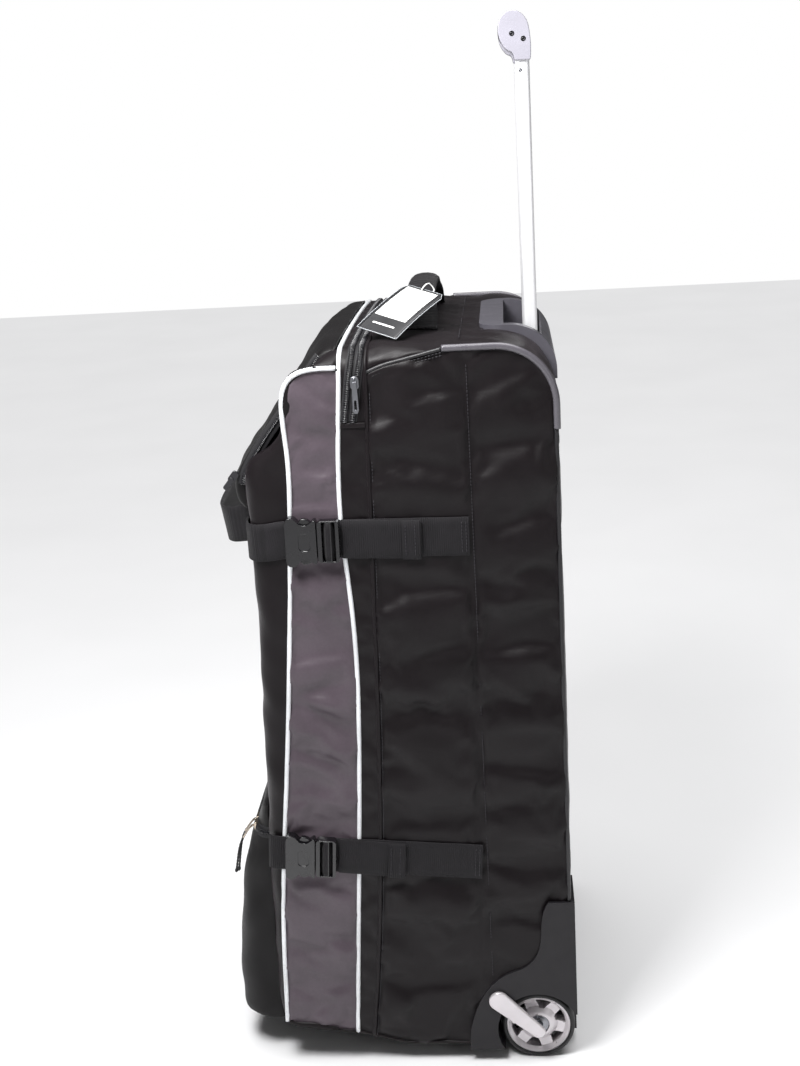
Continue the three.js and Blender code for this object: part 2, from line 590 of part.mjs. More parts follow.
// tapered arm from the housing to the outer end of the axle
const ARM = { y: 97, z: 75, wide: 10.5, narrow: 7 };
const armAngle = Math.atan2(WHEEL_RADIUS - ARM.z, WHEEL_Y - ARM.y);
const armShape = new THREE.Shape();
armShape.absarc(ARM.y, ARM.z, ARM.wide, armAngle + Math.PI / 2, armAngle - Math.PI / 2, false);
armShape.absarc(WHEEL_Y, WHEEL_RADIUS, ARM.narrow, armAngle - Math.PI / 2, armAngle + Math.PI / 2, false);
const arm = cut(toSolid(alongX(armShape, strutIn, strutOut, 5, 1.2)),
  rodX(AXLE_RADIUS + GAP, 170, strutIn + 2.8, WHEEL_Y, WHEEL_RADIUS, 20));
addPair('wheel_strut', arm, SILVER, 0.35, 0.7);

// ---------- front feet ----------
const footShape = polygon([[-8, BOTTOM_Z + 1.7], [-34, BOTTOM_Z + 9], [-50, 32.9], [-46, 2], [-43, 0],
  [-14, 0], [-11, 2]]);
addPair('front_foot', toSolid(alongX(footShape, 90, 122)), DARK_PLASTIC, 0.6);

// ---------- zip sliders ----------
const SLIDER = [8, 4, 12]; // along the tooth line's normal, out and along it
function slider(x, y, z) {
  return box([x, y - SLIDER[0] / 2, z - SLIDER[2] / 2], [x + SLIDER[1], y + SLIDER[0] / 2, z + SLIDER[2] / 2]);
}
const MAIN = { y: -11, z: 728 };
const sliderX = HALF_WIDTH + GAP;
add('main_slider', union(slider(sliderX, MAIN.y, MAIN.z),
  box([sliderX + 3.9, MAIN.y - 2, MAIN.z + 2], [sliderX + 5.5, MAIN.y + 2, MAIN.z + 5])), STEEL, 0.35, 0.9);
add('main_pull', box([sliderX + 4.6, MAIN.y - 3.5, MAIN.z - 28], [sliderX + 6.4, MAIN.y + 3.5, MAIN.z + 1.6]),
  STEEL, 0.35, 0.9);

// sliders of the lower pocket: body on the upper slope, with a moulded cord-like puller
function lowerSlider(x, reach) {
  const body = box([x - 6, -150.6, 256], [x + 6, -146.4, 264]);
  const lean = new THREE.Vector3(x, -149.6, 260);
  const path = new THREE.CatmullRomCurve3([
    lean, new THREE.Vector3(x, -157, 255), new THREE.Vector3(x, -168, 236),
    new THREE.Vector3(x, -175.5, 260 - reach),
  ]);
  const cord = new THREE.Shape().absarc(0, 0, 1.5, 0, 2 * Math.PI);
  const puller = new THREE.ExtrudeGeometry(cord, {
    extrudePath: path, steps: 8, curveSegments: 4, bevelEnabled: false,
  });
  return union(body, puller);
}
add('lower_slider_inner', lowerSlider(126, 62), STEEL, 0.35, 0.9);
add('lower_slider_outer', lowerSlider(140, 56), STEEL, 0.35, 0.9);

// slider of the upper pocket, on the zip along its sloping side edge
const slope = new THREE.Vector2(-53 + 145, 744 - 632).normalize();
const upperSlider = box([0, -6, -7.5], [4, 6, 0.5]);
upperSlider.rotateX(Math.atan2(slope.y, slope.x));
upperSlider.translate(POCKET_HALF + GAP, -138, 640.5);
add('upper_slider', upperSlider, STEEL, 0.35, 0.9);

// ---------- hang tag ----------
const TAG = { top: [87, 53.5, 797.5], width: 46, length: 79 };
const across = new THREE.Vector3(24, 38, -11).normalize();
const down = new THREE.Vector3(55, -49.5, -29);
down.addScaledVector(across, -down.dot(across)).normalize();
const tagNormal = new THREE.Vector3().crossVectors(down, across);
const tagBox = box([-TAG.width / 2, 0, -0.4], [TAG.width / 2, TAG.length, 0.4]);
const tagTurn = new THREE.Matrix4().makeBasis(across, down, tagNormal.clone().negate());
tagTurn.setPosition(...TAG.top);
add('hang_tag', tagBox.applyMatrix4(tagTurn), CARD, 0.5);

export default bag;
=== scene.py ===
"""Rolling duffel bag on two wheels with a telescopic handle: the visual model.
Metres in Blender, millimetres in the code below. +Z up, the front faces -Y, right is +X."""
import math

import bmesh
import bpy
import numpy as np
from mathutils import Matrix, Vector


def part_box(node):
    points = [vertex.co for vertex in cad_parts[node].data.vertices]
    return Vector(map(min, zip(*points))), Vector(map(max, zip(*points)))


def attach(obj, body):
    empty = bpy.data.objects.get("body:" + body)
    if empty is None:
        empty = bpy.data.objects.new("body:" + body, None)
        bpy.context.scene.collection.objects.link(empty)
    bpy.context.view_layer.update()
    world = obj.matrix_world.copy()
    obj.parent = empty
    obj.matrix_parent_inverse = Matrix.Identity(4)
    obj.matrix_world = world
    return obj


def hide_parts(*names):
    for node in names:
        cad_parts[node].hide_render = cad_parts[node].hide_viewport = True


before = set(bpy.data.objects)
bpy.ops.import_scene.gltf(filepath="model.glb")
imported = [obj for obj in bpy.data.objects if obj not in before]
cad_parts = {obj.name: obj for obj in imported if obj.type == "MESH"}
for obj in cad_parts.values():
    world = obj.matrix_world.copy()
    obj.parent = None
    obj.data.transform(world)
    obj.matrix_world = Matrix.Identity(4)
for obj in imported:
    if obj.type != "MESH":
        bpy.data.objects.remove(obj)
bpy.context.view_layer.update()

MM = 0.001
BAG_CENTRE = np.array([0.0, 30.0, 390.0])


def box_mm(node):
    """the lowest and highest corner of a CAD node, in millimetres"""
    low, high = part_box(node)
    return np.array(low) / MM, np.array(high) / MM


# ---------- sizes that come from the frame ----------
side_low, side_high = box_mm("side_panel_right")
HALF = float(side_high[0])  # outside of the side panels
TOP = float(side_high[2])
BACK = float(side_high[1])
BOTTOM = float(side_low[2])
CORNER = 56.0  # top rear corner, seen from the side
SHOULDER = 22.0  # rounding of the top over the sides, at the front
CROWN = 4.0  # how far the top rises to the middle
wheel_low, wheel_high = box_mm("tyre_right")
WHEEL_R = float(wheel_high[2] - wheel_low[2]) / 2
WHEEL_Y = float(wheel_low[1] + wheel_high[1]) / 2
WHEEL_Z = float(wheel_low[2] + wheel_high[2]) / 2
tube_low, tube_high = box_mm("inner_tube_right")
TUBE_X = float(tube_low[0] + tube_high[0]) / 2
TUBE_Y = float(tube_low[1] + tube_high[1]) / 2
POCKET_HALF = float(box_mm("upper_pocket")[1][0])
WEBBING = 38.0
BUCKLE_W = 48.0


# ---------- curves ----------
def even(points, n):
    """n points spaced evenly along a polyline"""
    points = np.asarray(points, float)
    run = np.r_[0, np.cumsum(np.linalg.norm(np.diff(points, axis=0), axis=1))]
    at = np.linspace(0, run[-1], n)
    return np.column_stack([np.interp(at, run, points[:, k]) for k in range(points.shape[1])])


def smooth(points, steps=16):
    """a Catmull-Rom curve through the points"""
    p = np.asarray(points, float)
    q = np.vstack([2 * p[0] - p[1], p, 2 * p[-1] - p[-2]])
    out = []
    for i in range(len(p) - 1):
        a, b, c, d = q[i:i + 4]
        t = np.linspace(0, 1, steps, endpoint=False)[:, None]
        out.append(0.5 * (2 * b + (c - a) * t + (2 * a - 5 * b + 4 * c - d) * t**2
                          + (3 * b - 3 * c + d - a) * t**3))
    return np.vstack(out + [p[-1:]])


def spline(points, n):
    return even(smooth(points), n)


def bezier(a, b, c, d, n):
    t = np.linspace(0, 1, n)[:, None]
    a, b, c, d = (np.array(p, float) for p in (a, b, c, d))
    return (1 - t)**3 * a + 3 * (1 - t)**2 * t * b + 3 * (1 - t) * t**2 * c + t**3 * d


def mirrored(points):
    return np.asarray(points, float) * (-1, 1, 1)


# seams seen from the side, as (Y, Z), bottom to top
rear_seam = bezier((0, TOP), (-8, 520), (-6, 260), (-36, 31), 60)[::-1]
rear_piping = spline([(-24, TOP), (-33, 610), (-28, 420), (-53, 36)], 60)[::-1]
front_piping = spline([(-127, 50), (-120, 193), (-97, 415), (-80, 620), (-81, 700)], 60)
gusset_top = bezier((-81, 700), (-82, 738), (-66, 744), (-28, 742), 24)


def over_top(side, top_y, crown=CROWN, n=120):
    """a seam that climbs the right side, rounds the shoulder and crosses to the left one"""
    start = TOP - SHOULDER + 1.5
    side = side[side[:, 1] < start - 1]
    points = [(HALF, y, z) for y, z in side]
    for angle in np.radians(np.linspace(0, 90, 9)):
        points.append((HALF - SHOULDER * (1 - math.cos(angle)),
                       side[-1][0] + (top_y - side[-1][0]) * math.sin(angle),
                       start + SHOULDER * math.sin(angle)))
    flat = HALF - SHOULDER
    for x in np.linspace(flat, 0, 12)[1:]:
        points.append((x, top_y, TOP + 1.5 + crown * (1 - (x / flat)**2)))
    right = np.array(points)
    return even(np.vstack([right, mirrored(right[-2::-1])]), n)


# ---------- mesh building ----------
def grid_faces(rows, columns, wrap=False):
    faces = []
    for i in range(rows - 1):
        for j in range(columns if wrap else columns - 1):
            k = (j + 1) % columns
            faces.append((i * columns + j, i * columns + k,
                          (i + 1) * columns + k, (i + 1) * columns + j))
    return faces


def build(name, points, faces, material, body="bag", stands_for=(), slot=None, closed=True):
    """a mesh piece from points in millimetres, riding on a CAD body"""
    data = bpy.data.meshes.new(name)
    data.from_pydata((np.asarray(points, float) * MM).tolist(), [], [list(map(int, f)) for f in faces])
    data.materials.append(material)
    shape = bmesh.new()
    shape.from_mesh(data)
    if closed:
        bmesh.ops.recalc_face_normals(shape, faces=shape.faces)
    else:
        outward = sum(f.normal.dot(f.calc_center_median() - Vector(BAG_CENTRE * MM)) for f in shape.faces)
        if outward < 0:
            bmesh.ops.reverse_faces(shape, faces=shape.faces)
    shape.to_mesh(data)
    shape.free()
    data.polygons.foreach_set("use_smooth", [True] * len(data.polygons))
    obj = bpy.data.objects.new(name, data)
    bpy.context.scene.collection.objects.link(obj)
    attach(obj, body)
    if stands_for:
        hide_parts(*stands_for)
    return obj


def join(*parts):
    """several (points, faces) as one"""
    points, faces, start = [], [], 0
    for p, f in parts:
        points.append(np.asarray(p, float))
        faces += [[v + start for v in face] for face in f]
        start += len(p)
    return np.vstack(points), faces


def flipped(part):
    points, faces = part
    return mirrored(points), [list(f)[::-1] for f in faces]


def sweep(path, section, side=None, closed_ends=True):
    """a closed section of (across, out) points carried along a path; side is the fixed across direction"""
    path = np.asarray(path, float)
    tangent = np.gradient(path, axis=0)
    tangent /= np.linalg.norm(tangent, axis=1)[:, None]
    if side is None:
        start = np.cross(tangent[0], (0.3, 0.5, 0.8))
        across = [start / np.linalg.norm(start)]
        for t in tangent[1:]:
            a = across[-1] - t * (across[-1] @ t)
            across.append(a / np.linalg.norm(a))
        across = np.array(across)
    else:
        side = np.broadcast_to(np.asarray(side, float), path.shape)
        across = side - tangent * np.sum(side * tangent, axis=1)[:, None]
        across /= np.linalg.norm(across, axis=1)[:, None]
    out = np.cross(across, tangent)
    section = np.asarray(section, float)
    if section.ndim == 2:
        section = np.broadcast_to(section, (len(path),) + section.shape)
    points = (path[:, None] + section[..., 0:1] * across[:, None] + section[..., 1:2] * out[:, None])
    count = section.shape[1]
    faces = grid_faces(len(path), count, wrap=True)
    if closed_ends:
        faces += [list(range(count))[::-1], list(range((len(path) - 1) * count, len(path) * count))]
    return points.reshape(-1, 3), faces


def circle(radius, sides=8, squeeze=1.0):
    a = np.linspace(0, 2 * math.pi, sides, endpoint=False)
    return np.column_stack([radius * np.cos(a), radius * squeeze * np.sin(a)])


def slab(width, thickness, across=6, edge=0.5):
    """a thin flat section with rounded edges"""
    half, t = width / 2, thickness / 2
    top = [(x, t) for x in np.linspace(-half + edge, half - edge, across)]
    return np.array(top + [(half, t * 0.3), (half, -t * 0.3)] + [(x, -t) for x, _ in top[::-1]]
                    + [(-half, -t * 0.3), (-half, t * 0.3)])


def tube(path, radius, sides=8):
    return sweep(path, circle(radius, sides))


def lathe(profile, y, z, segments=96):
    """a solid turned about an X axis; the profile is a closed loop of (radius, x)"""
    profile = np.asarray(profile, float)
    a = np.linspace(0, 2 * math.pi, segments, endpoint=False)
    points = [(x, y + r * math.cos(t), z + r * math.sin(t)) for t in a for r, x in profile]
    count = len(profile)
    faces = []
    for i in range(segments):
        for j in range(count):
            k, n = (j + 1) % count, (i + 1) % segments
            faces.append((i * count + j, i * count + k, n * count + k, n * count + j))
    return np.array(points), faces


def prism(outline, low, high, axis="x"):
    """an outline carried along an axis: (Y, Z) along x, or (X, Y) along z"""
    outline = np.asarray(outline, float)
    n = len(outline)

    def layer(at):
        column = np.full((n, 1), at)
        return np.hstack([column, outline]) if axis == "x" else np.hstack([outline, column])

    faces = [list(range(n))[::-1], list(range(n, 2 * n))]
    faces += [(i, (i + 1) % n, n + (i + 1) % n, n + i) for i in range(n)]
    return np.vstack([layer(low), layer(high)]), faces


def block(low, high):
    (x0, y0, z0), (x1, y1, z1) = low, high
    return prism([(y0, z0), (y1, z0), (y1, z1), (y0, z1)], x0, x1)


def rounded(width, height, radius, cx=0.0, cy=0.0, steps=6):
    points = []
    for sx, sy, start in ((1, -1, -90), (1, 1, 0), (-1, 1, 90), (-1, -1, 180)):
        for a in np.radians(np.linspace(start, start + 90, steps)):
            points.append((cx + sx * (width / 2 - radius) + radius * math.cos(a),
                           cy + sy * (height / 2 - radius) + radius * math.sin(a)))
    return points


def modify(obj, kind, **settings):
    modifier = obj.modifiers.new(kind.title(), kind)
    for key, value in settings.items():
        setattr(modifier, key, value)
    return modifier


def soften(obj, width, segments=3, angle=35):
    modify(obj, "BEVEL", width=width * MM, segments=segments, limit_method="ANGLE",
           angle_limit=math.radians(angle), harden_normals=True)
    return obj


def bake(obj):
    """applies every modifier"""
    evaluated = obj.evaluated_get(bpy.context.evaluated_depsgraph_get())
    data = bpy.data.meshes.new_from_object(evaluated)
    obj.modifiers.clear()
    obj.data = data
    return obj


def carve(obj, *parts, operation="DIFFERENCE"):
    """cuts the parts out of a piece"""
    cutters = []
    for part in parts:
        data = bpy.data.meshes.new("cutter")
        data.from_pydata((np.asarray(part[0]) * MM).tolist(), [], [list(map(int, f)) for f in part[1]])
        shape = bmesh.new()
        shape.from_mesh(data)
        bmesh.ops.recalc_face_normals(shape, faces=shape.faces)
        shape.to_mesh(data)
        shape.free()
        cutter = bpy.data.objects.new("cutter", data)
        bpy.context.scene.collection.objects.link(cutter)
        cutters.append(cutter)
        modify(obj, "BOOLEAN", operation=operation, object=cutter, solver="EXACT")
    bpy.context.view_layer.update()
    bake(obj)
    for cutter in cutters:
        bpy.data.objects.remove(cutter)
    return obj


# ---------- materials ----------
def linear(hex_colour):
    parts = [((hex_colour >> shift) & 255) / 255 for shift in (16, 8, 0)]
    return [c / 12.92 if c <= 0.04045 else ((c + 0.055) / 1.055)**2.4 for c in parts] + [1.0]


class Finish:
    """a procedural material under construction; sizes are in metres, from object coordinates"""

    def __init__(self, name, colour, roughness, metallic=0.0, **sockets):
        self.material = bpy.data.materials.new(name)
        self.material.use_nodes = True
        self.tree = self.material.node_tree
        self.shader = self.tree.nodes["Principled BSDF"]
        self.colour, self.roughness = linear(colour), roughness
        self.shader.inputs["Base Color"].default_value = self.colour
        self.shader.inputs["Roughness"].default_value = roughness
        self.shader.inputs["Metallic"].default_value = metallic
        for key, value in sockets.items():
            self.shader.inputs[key.replace("_", " ")].default_value = value
        self.place = self.tree.nodes.new("ShaderNodeTexCoord").outputs["Object"]
        self.normal = None
        self.paint = None

    def node(self, kind, links=(), **settings):
        made = self.tree.nodes.new(kind)
        for key, value in settings.items():
            setattr(made, key, value)
        for socket, value in dict(links).items():
            if isinstance(value, bpy.types.NodeSocket):
                self.tree.links.new(value, made.inputs[socket])
            else:
                made.inputs[socket].default_value = value
        return made

    def noise(self, size, detail=2.0, stretch=None):
        """cloudy variation with features of about size millimetres"""
        place = self.place
        if stretch:
            place = self.node("ShaderNodeMapping", {"Vector": place, "Scale": stretch}).outputs[0]
        return self.node("ShaderNodeTexNoise", {"Vector": place, "Scale": 1000 / size, "Detail": detail,
                                                "Roughness": 0.55}).outputs[0]

    def wave(self, period, direction="DIAGONAL", turn=(0, 0, 0), wobble=0.0):
        """parallel ridges, period millimetres apart"""
        place = self.node("ShaderNodeMapping", {"Vector": self.place, "Rotation": turn}).outputs[0]
        scale = (200 if direction == "DIAGONAL" else 100) * math.pi / period
        return self.node("ShaderNodeTexWave",
                         {"Vector": place, "Scale": scale, "Distortion": wobble, "Detail": 1.0},
                         wave_type="BANDS", bands_direction=direction).outputs["Fac"]

    def math(self, operation, a, b):
        return self.node("ShaderNodeMath", {0: a, 1: b}, operation=operation).outputs[0]

    def vary(self, factor, low, high):
        """multiplies the colour by low to high as factor goes from 0.3 to 0.7"""
        base = self.paint or self.node("ShaderNodeRGB").outputs[0]
        if self.paint is None:
            base.default_value = self.colour
        level = self.node("ShaderNodeMapRange", {"Value": factor, "From Min": 0.3, "From Max": 0.7,
                                                 "To Min": low, "To Max": high}).outputs[0]
        self.paint = self.node("ShaderNodeVectorMath", {0: base, 1: level}, operation="MULTIPLY").outputs[0]
        self.tree.links.new(self.paint, self.shader.inputs["Base Color"])
        return self

    def rough(self, factor, spread):
        level = self.node("ShaderNodeMapRange", {
            "Value": factor, "From Min": 0.3, "From Max": 0.7,
            "To Min": max(0.02, self.roughness - spread),
            "To Max": min(1, self.roughness + spread)}).outputs[0]
        self.tree.links.new(level, self.shader.inputs["Roughness"])
        return self

    def bump(self, height, depth, strength=1.0):
        """raises the surface by up to depth millimetres"""
        links = {"Height": height, "Distance": depth * MM, "Strength": strength}
        if self.normal is not None:
            links["Normal"] = self.normal
        self.normal = self.node("ShaderNodeBump", links).outputs[0]
        self.tree.links.new(self.normal, self.shader.inputs["Normal"])
        return self


def fabric(name, colour, roughness, thread=0.55, depth=0.03, crumple=0.5, **sockets):
    """a tight twill of crossing threads, with faint crumpling and clouded colour"""
    f = Finish(name, colour, roughness, **sockets)
    warp = f.wave(thread, "DIAGONAL", wobble=0.6)
    weft = f.wave(thread * 1.7, "DIAGONAL", turn=(math.pi / 2, math.pi / 3, 0.4))
    weave = f.math("MULTIPLY", warp, f.math("ADD", 0.6, f.math("MULTIPLY", 0.4, weft)))
    f.vary(f.noise(60, 3), 0.84, 1.16).vary(f.noise(3, 1), 0.96, 1.04)
    f.rough(f.noise(28, 2), 0.05)
    f.bump(f.noise(17, 3), crumple, 0.5).bump(weave, depth, 0.8)
    return f.material


def ribbed(name, colour, roughness, period=2.0, direction="Y"):
    """webbing: coarse ribs across a fine diagonal weave, with painted highlight on the rib crests, painted
    shade in the troughs, and a cloudy tone
    """
    f = Finish(name, colour, roughness, Sheen_Weight=0.06, Sheen_Roughness=0.5, Specular_IOR_Level=0.25)
    ribs = f.wave(period, direction)
    weave = f.wave(0.8, "DIAGONAL", wobble=0.4)
    # the colour rises and falls with the ribs: painted highlight on the crests and painted shade in the
    # troughs; the cloudy tone after it varies at random
    f.vary(ribs, 0.8, 1.15).vary(f.noise(14, 2), 0.85, 1.15)
    f.bump(f.noise(20, 2), 0.3, 0.4).bump(ribs, 0.18, 0.7).bump(weave, 0.06, 0.6)
    return f.material


def moulded(name, colour, roughness, grain=0.7, depth=0.03, **sockets):
    """moulded plastic with a fine grain and slight handling marks"""
    f = Finish(name, colour, roughness, **sockets)
    f.vary(f.noise(35, 3), 0.93, 1.07)
    f.rough(f.noise(12, 3), 0.07).bump(f.noise(grain, 2), depth, 0.7)
    return f.material


def brushed(name, colour, roughness, stretch=(1, 1, 0.02), metallic=1.0, **sockets):
    """metal with fine drawn lines and faint handling marks"""
    f = Finish(name, colour, roughness, metallic=metallic, **sockets)
    lines = f.noise(0.5, 2, stretch)
    f.vary(lines, 0.94, 1.05).vary(f.noise(40, 3), 0.93, 1.06)
    f.rough(f.noise(15, 3, stretch), 0.06).bump(lines, 0.01, 0.5)
    return f.material


BLACK = fabric("black_twill", 0x151113, 0.42, Sheen_Weight=0.03, Sheen_Roughness=0.4,
               Sheen_Tint=(1.0, 0.85, 0.95, 1), Specular_IOR_Level=0.2)
POCKET = fabric("black_twill_pocket", 0x100e0f, 0.5, thread=0.6, Sheen_Weight=0.03, Sheen_Roughness=0.4,
                Specular_IOR_Level=0.2)
GREY = fabric("grey_satin", 0x51484f, 0.34, thread=0.5, depth=0.02, crumple=0.3, Sheen_Weight=0.08,
              Sheen_Roughness=0.35, Specular_IOR_Level=0.35)
WHITE_PIPING = fabric("white_piping", 0xe9ebee, 0.38, thread=0.5, depth=0.02, crumple=0.1,
                      Coat_Weight=0.25, Coat_Roughness=0.3)
BLACK_PIPING = fabric("black_piping", 0x19181b, 0.45, thread=0.5, depth=0.02, crumple=0.1,
                      Coat_Weight=0.1, Coat_Roughness=0.4)
WEB = ribbed("webbing_side", 0x181619, 0.7, 2.0, "Y")
WEB_X = ribbed("webbing_front", 0x181619, 0.7, 2.0, "X")
TAPE = fabric("zip_tape", 0x1a191c, 0.7, thread=0.5, depth=0.04, crumple=0.1)
COIL = moulded("zip_coil", 0x1f1e22, 0.28, Coat_Weight=0.4, Coat_Roughness=0.2)
THREAD = moulded("thread", 0x2e2c31, 0.6, grain=0.3)
BUCKLE = moulded("buckle_plastic", 0x111013, 0.24, Coat_Weight=0.4, Coat_Roughness=0.12)
PLASTIC = moulded("housing_plastic", 0x1e1c1f, 0.46, Specular_IOR_Level=0.3)
BEZEL = moulded("bezel_plastic", 0x535158, 0.36, Coat_Weight=0.2, Coat_Roughness=0.3)
GUARD = moulded("corner_guard_plastic", 0x565359, 0.3, Coat_Weight=0.5, Coat_Roughness=0.15)
GRIP = moulded("grip_plastic", 0xa5a3ad, 0.32, Coat_Weight=0.3, Coat_Roughness=0.2)
SOFT_GRIP = moulded("grip_rubber", 0x202023, 0.55, grain=0.9, depth=0.06)
SILVER = moulded("silver_paint", 0xd2cdd0, 0.34, grain=0.5, depth=0.008, Metallic=0.5,
                 Coat_Weight=0.3, Coat_Roughness=0.15)
ALUMINIUM = brushed("satin_aluminium", 0xfafafc, 0.42, metallic=0.45)
STEEL = brushed("bright_steel", 0x8f9095, 0.3, (1, 1, 1))
NICKEL = brushed("warm_nickel", 0xcdbfae, 0.24, (1, 1, 1))
RUBBER = moulded("tyre_rubber", 0x171718, 0.6, grain=1.2, depth=0.05)
BOARD = moulded("board", 0x1d1d1f, 0.6, grain=1.5, depth=0.05)
CARD = moulded("tag_card", 0x17171a, 0.35, grain=0.4, depth=0.01, Coat_Weight=0.2, Coat_Roughness=0.3)
LABEL = moulded("tag_label", 0xf2f2f0, 0.45, grain=0.5, depth=0.01)
CARD_EDGE = moulded("tag_card_edge", 0xb4b7bb, 0.5, grain=0.5, depth=0.01)
PUTTY = moulded("cord_puller", 0x141416, 0.5, grain=0.6, depth=0.05)


# ---------- fabric panels ----------
def coons(bottom, top, left, right, rows, columns):
    """a grid between four border curves; left and right run from bottom to top"""
    bottom, top = even(bottom, columns), even(top, columns)
    left, right = even(left, rows), even(right, rows)
    u = np.linspace(0, 1, columns)[None, :, None]
    v = np.linspace(0, 1, rows)[:, None, None]
    ruled = (1 - v) * bottom[None] + v * top[None] + (1 - u) * left[:, None] + u * right[:, None]
    corners = ((1 - u) * (1 - v) * bottom[0] + u * (1 - v) * bottom[-1]
               + (1 - u) * v * top[0] + u * v * top[-1])
    return ruled - corners


def ripple(points, seed, size):
    """smooth, repeatable unevenness from -1 to 1, with features of about size millimetres"""
    rng = np.random.default_rng(seed)
    value = np.zeros(points.shape[:-1])
    for _ in range(14):
        direction = rng.normal(size=3)
        direction /= np.linalg.norm(direction)
        length = size * rng.uniform(0.6, 1.8)
        value += np.sin(points @ direction * 2 * math.pi / length + rng.uniform(0, 6.28))
    return value / 5


waiting = []  # panels to simulate together


def panel(name, grid, material, stands_for=(), slot="black_fabric", body="bag", pinned=None, slack=0.012,
          pressure=1.0, bend=0.6, cap=None, hole=None, thickness=2.4, seed=1, start=1.2, size=45, folds=()):
    """a fabric sheet from a grid of points, sewn down along its border, and let go slack between.
    pinned marks further points that are sewn down, cap is how far each point may stand off its place."""
    rows, columns = grid.shape[:2]
    held = np.zeros((rows, columns), bool)
    held[[0, -1], :] = held[:, [0, -1]] = True
    if pinned is not None:
        held |= pinned
    faces = grid_faces(rows, columns)
    if hole is not None:
        middle = [grid.reshape(-1, 3)[list(f)].mean(0) for f in faces]
        faces = [f for f, m in zip(faces, middle) if not hole(m)]
    obj = build(name, grid.reshape(-1, 3), faces, material, body, stands_for, slot, closed=False)
    normals = np.array([v.normal for v in obj.data.vertices]).reshape(rows, columns, 3)
    free = (~held)[..., None]
    lift = ripple(grid, seed, size)[..., None] * start * free
    moved = grid + normals * lift
    obj.data.vertices.foreach_set("co", (moved.reshape(-1, 3) * MM).astype(np.float32).ravel())
    obj.data.update()
    waiting.append(dict(obj=obj, rest=grid, normals=normals, held=held, slack=slack, pressure=pressure,
                        bend=bend, cap=cap, thickness=thickness, folds=folds))
    return obj


def creased(grid, folds):
    """height of soft folds; each is (Y, Z) of its two ends, its height and its half width"""
    height = np.zeros(grid.shape[:2])
    border = np.minimum.outer(np.minimum(np.arange(grid.shape[0]), np.arange(grid.shape[0])[::-1]),
                              np.minimum(np.arange(grid.shape[1]), np.arange(grid.shape[1])[::-1]))
    for y0, z0, y1, z1, high, width in folds:
        way = np.array([y1 - y0, z1 - z0], float)
        length = float(np.linalg.norm(way))
        way /= length
        off = grid[..., 1:] - (y0, z0)
        along = np.clip(off @ way / length, -0.2, 1.2)
        bend = 0.12 * length * np.sin(np.clip(along, 0, 1) * math.pi)
        beside = off @ np.array([-way[1], way[0]]) - bend
        height += high * np.exp(-(beside / width)**2) * np.sin((along + 0.2) / 1.4 * math.pi)**1.5
    return height * np.clip(border / 2.0, 0, 1)


def simulate(frames=22):
    """lets every waiting panel settle as cloth, keeps it within its cap, and gives it thickness"""
    for w in waiting:
        obj = w["obj"]
        group = obj.vertex_groups.new(name="sewn")
        group.add([int(i) for i in np.flatnonzero(w["held"].ravel())], 1.0, "REPLACE")
        cloth = modify(obj, "CLOTH")
        s = cloth.settings
        s.quality = 5
        s.mass = 0.25
        s.tension_stiffness = s.compression_stiffness = 18
        s.shear_stiffness = 8
        s.bending_stiffness = w["bend"]
        s.tension_damping = s.compression_damping = s.shear_damping = 12
        s.vertex_group_mass = "sewn"
        s.shrink_min = -w["slack"]
        s.use_pressure = True
        s.uniform_pressure_force = w["pressure"]
        s.effector_weights.gravity = 0
        cloth.collision_settings.use_self_collision = False
        cloth.point_cache.frame_start = 1
        cloth.point_cache.frame_end = frames
    scene = bpy.context.scene
    for f in range(1, frames + 1):
        scene.frame_set(f)
    graph = bpy.context.evaluated_depsgraph_get()
    for w in waiting:
        obj = w["obj"]
        data = obj.evaluated_get(graph).to_mesh()
        co = np.zeros(len(data.vertices) * 3, np.float32)
        data.vertices.foreach_get("co", co)
        w["result"] = co.reshape(w["rest"].shape) / MM
    for w in waiting:
        w["obj"].modifiers.clear()
    scene.frame_set(1)
    for w in waiting:
        obj = w["obj"]
        result = w.get("result")
        if result is None:
            co = np.zeros(len(obj.data.vertices) * 3, np.float32)
            obj.data.vertices.foreach_get("co", co)
            result = co.reshape(w["rest"].shape) / MM
        shift = result - w["rest"]
        out = np.sum(shift * w["normals"], axis=-1, keepdims=True)
        flat = shift - out * w["normals"]
        cap = 6.0 if w["cap"] is None else w["cap"][..., None]
        out = np.where(out > 0, cap * np.tanh(out / np.maximum(cap, 0.05)), 3.0 * np.tanh(out / 3.0))
        out += creased(w["rest"], w["folds"])[..., None]
        flat *= np.minimum(1, 4.0 / np.maximum(np.linalg.norm(flat, axis=-1, keepdims=True), 1e-6))
        final = w["rest"] + out * w["normals"] + flat
        final[w["held"]] = w["rest"][w["held"]]
        obj.data.vertices.foreach_set("co", (final.reshape(-1, 3) * MM).astype(np.float32).ravel())
        obj.data.update()
        modify(obj, "SOLIDIFY", thickness=w["thickness"] * MM, offset=-1.0)
        w["final"] = final


def stitches(name, paths, material=THREAD, body="bag", pitch=3.4, length=2.6, radius=0.38):
    """rows of thread stitches lying along paths on the fabric"""
    parts = []
    for path in paths:
        path = np.asarray(path, float)
        run = np.r_[0, np.cumsum(np.linalg.norm(np.diff(path, axis=0), axis=1))]
        for s in np.arange(pitch / 2, run[-1] - length, pitch):
            a, b = (np.array([np.interp(s + d, run, path[:, k]) for k in range(3)]) for d in (0, length))
            parts.append(sweep([a, a * 0.75 + b * 0.25, a * 0.25 + b * 0.75, b],
                               np.stack([circle(radius * k, 5) for k in (0.4, 1, 1, 0.4)])))
    return build(name, *join(*parts), material, body)


STRAPS = {
    "upper": dict(y=-86.0, z=580.0, tilt=0.8, length=174.0, tail=127.0),
    "lower": dict(y=-112.0, z=249.0, tilt=4.2, length=199.0, tail=120.0),
}


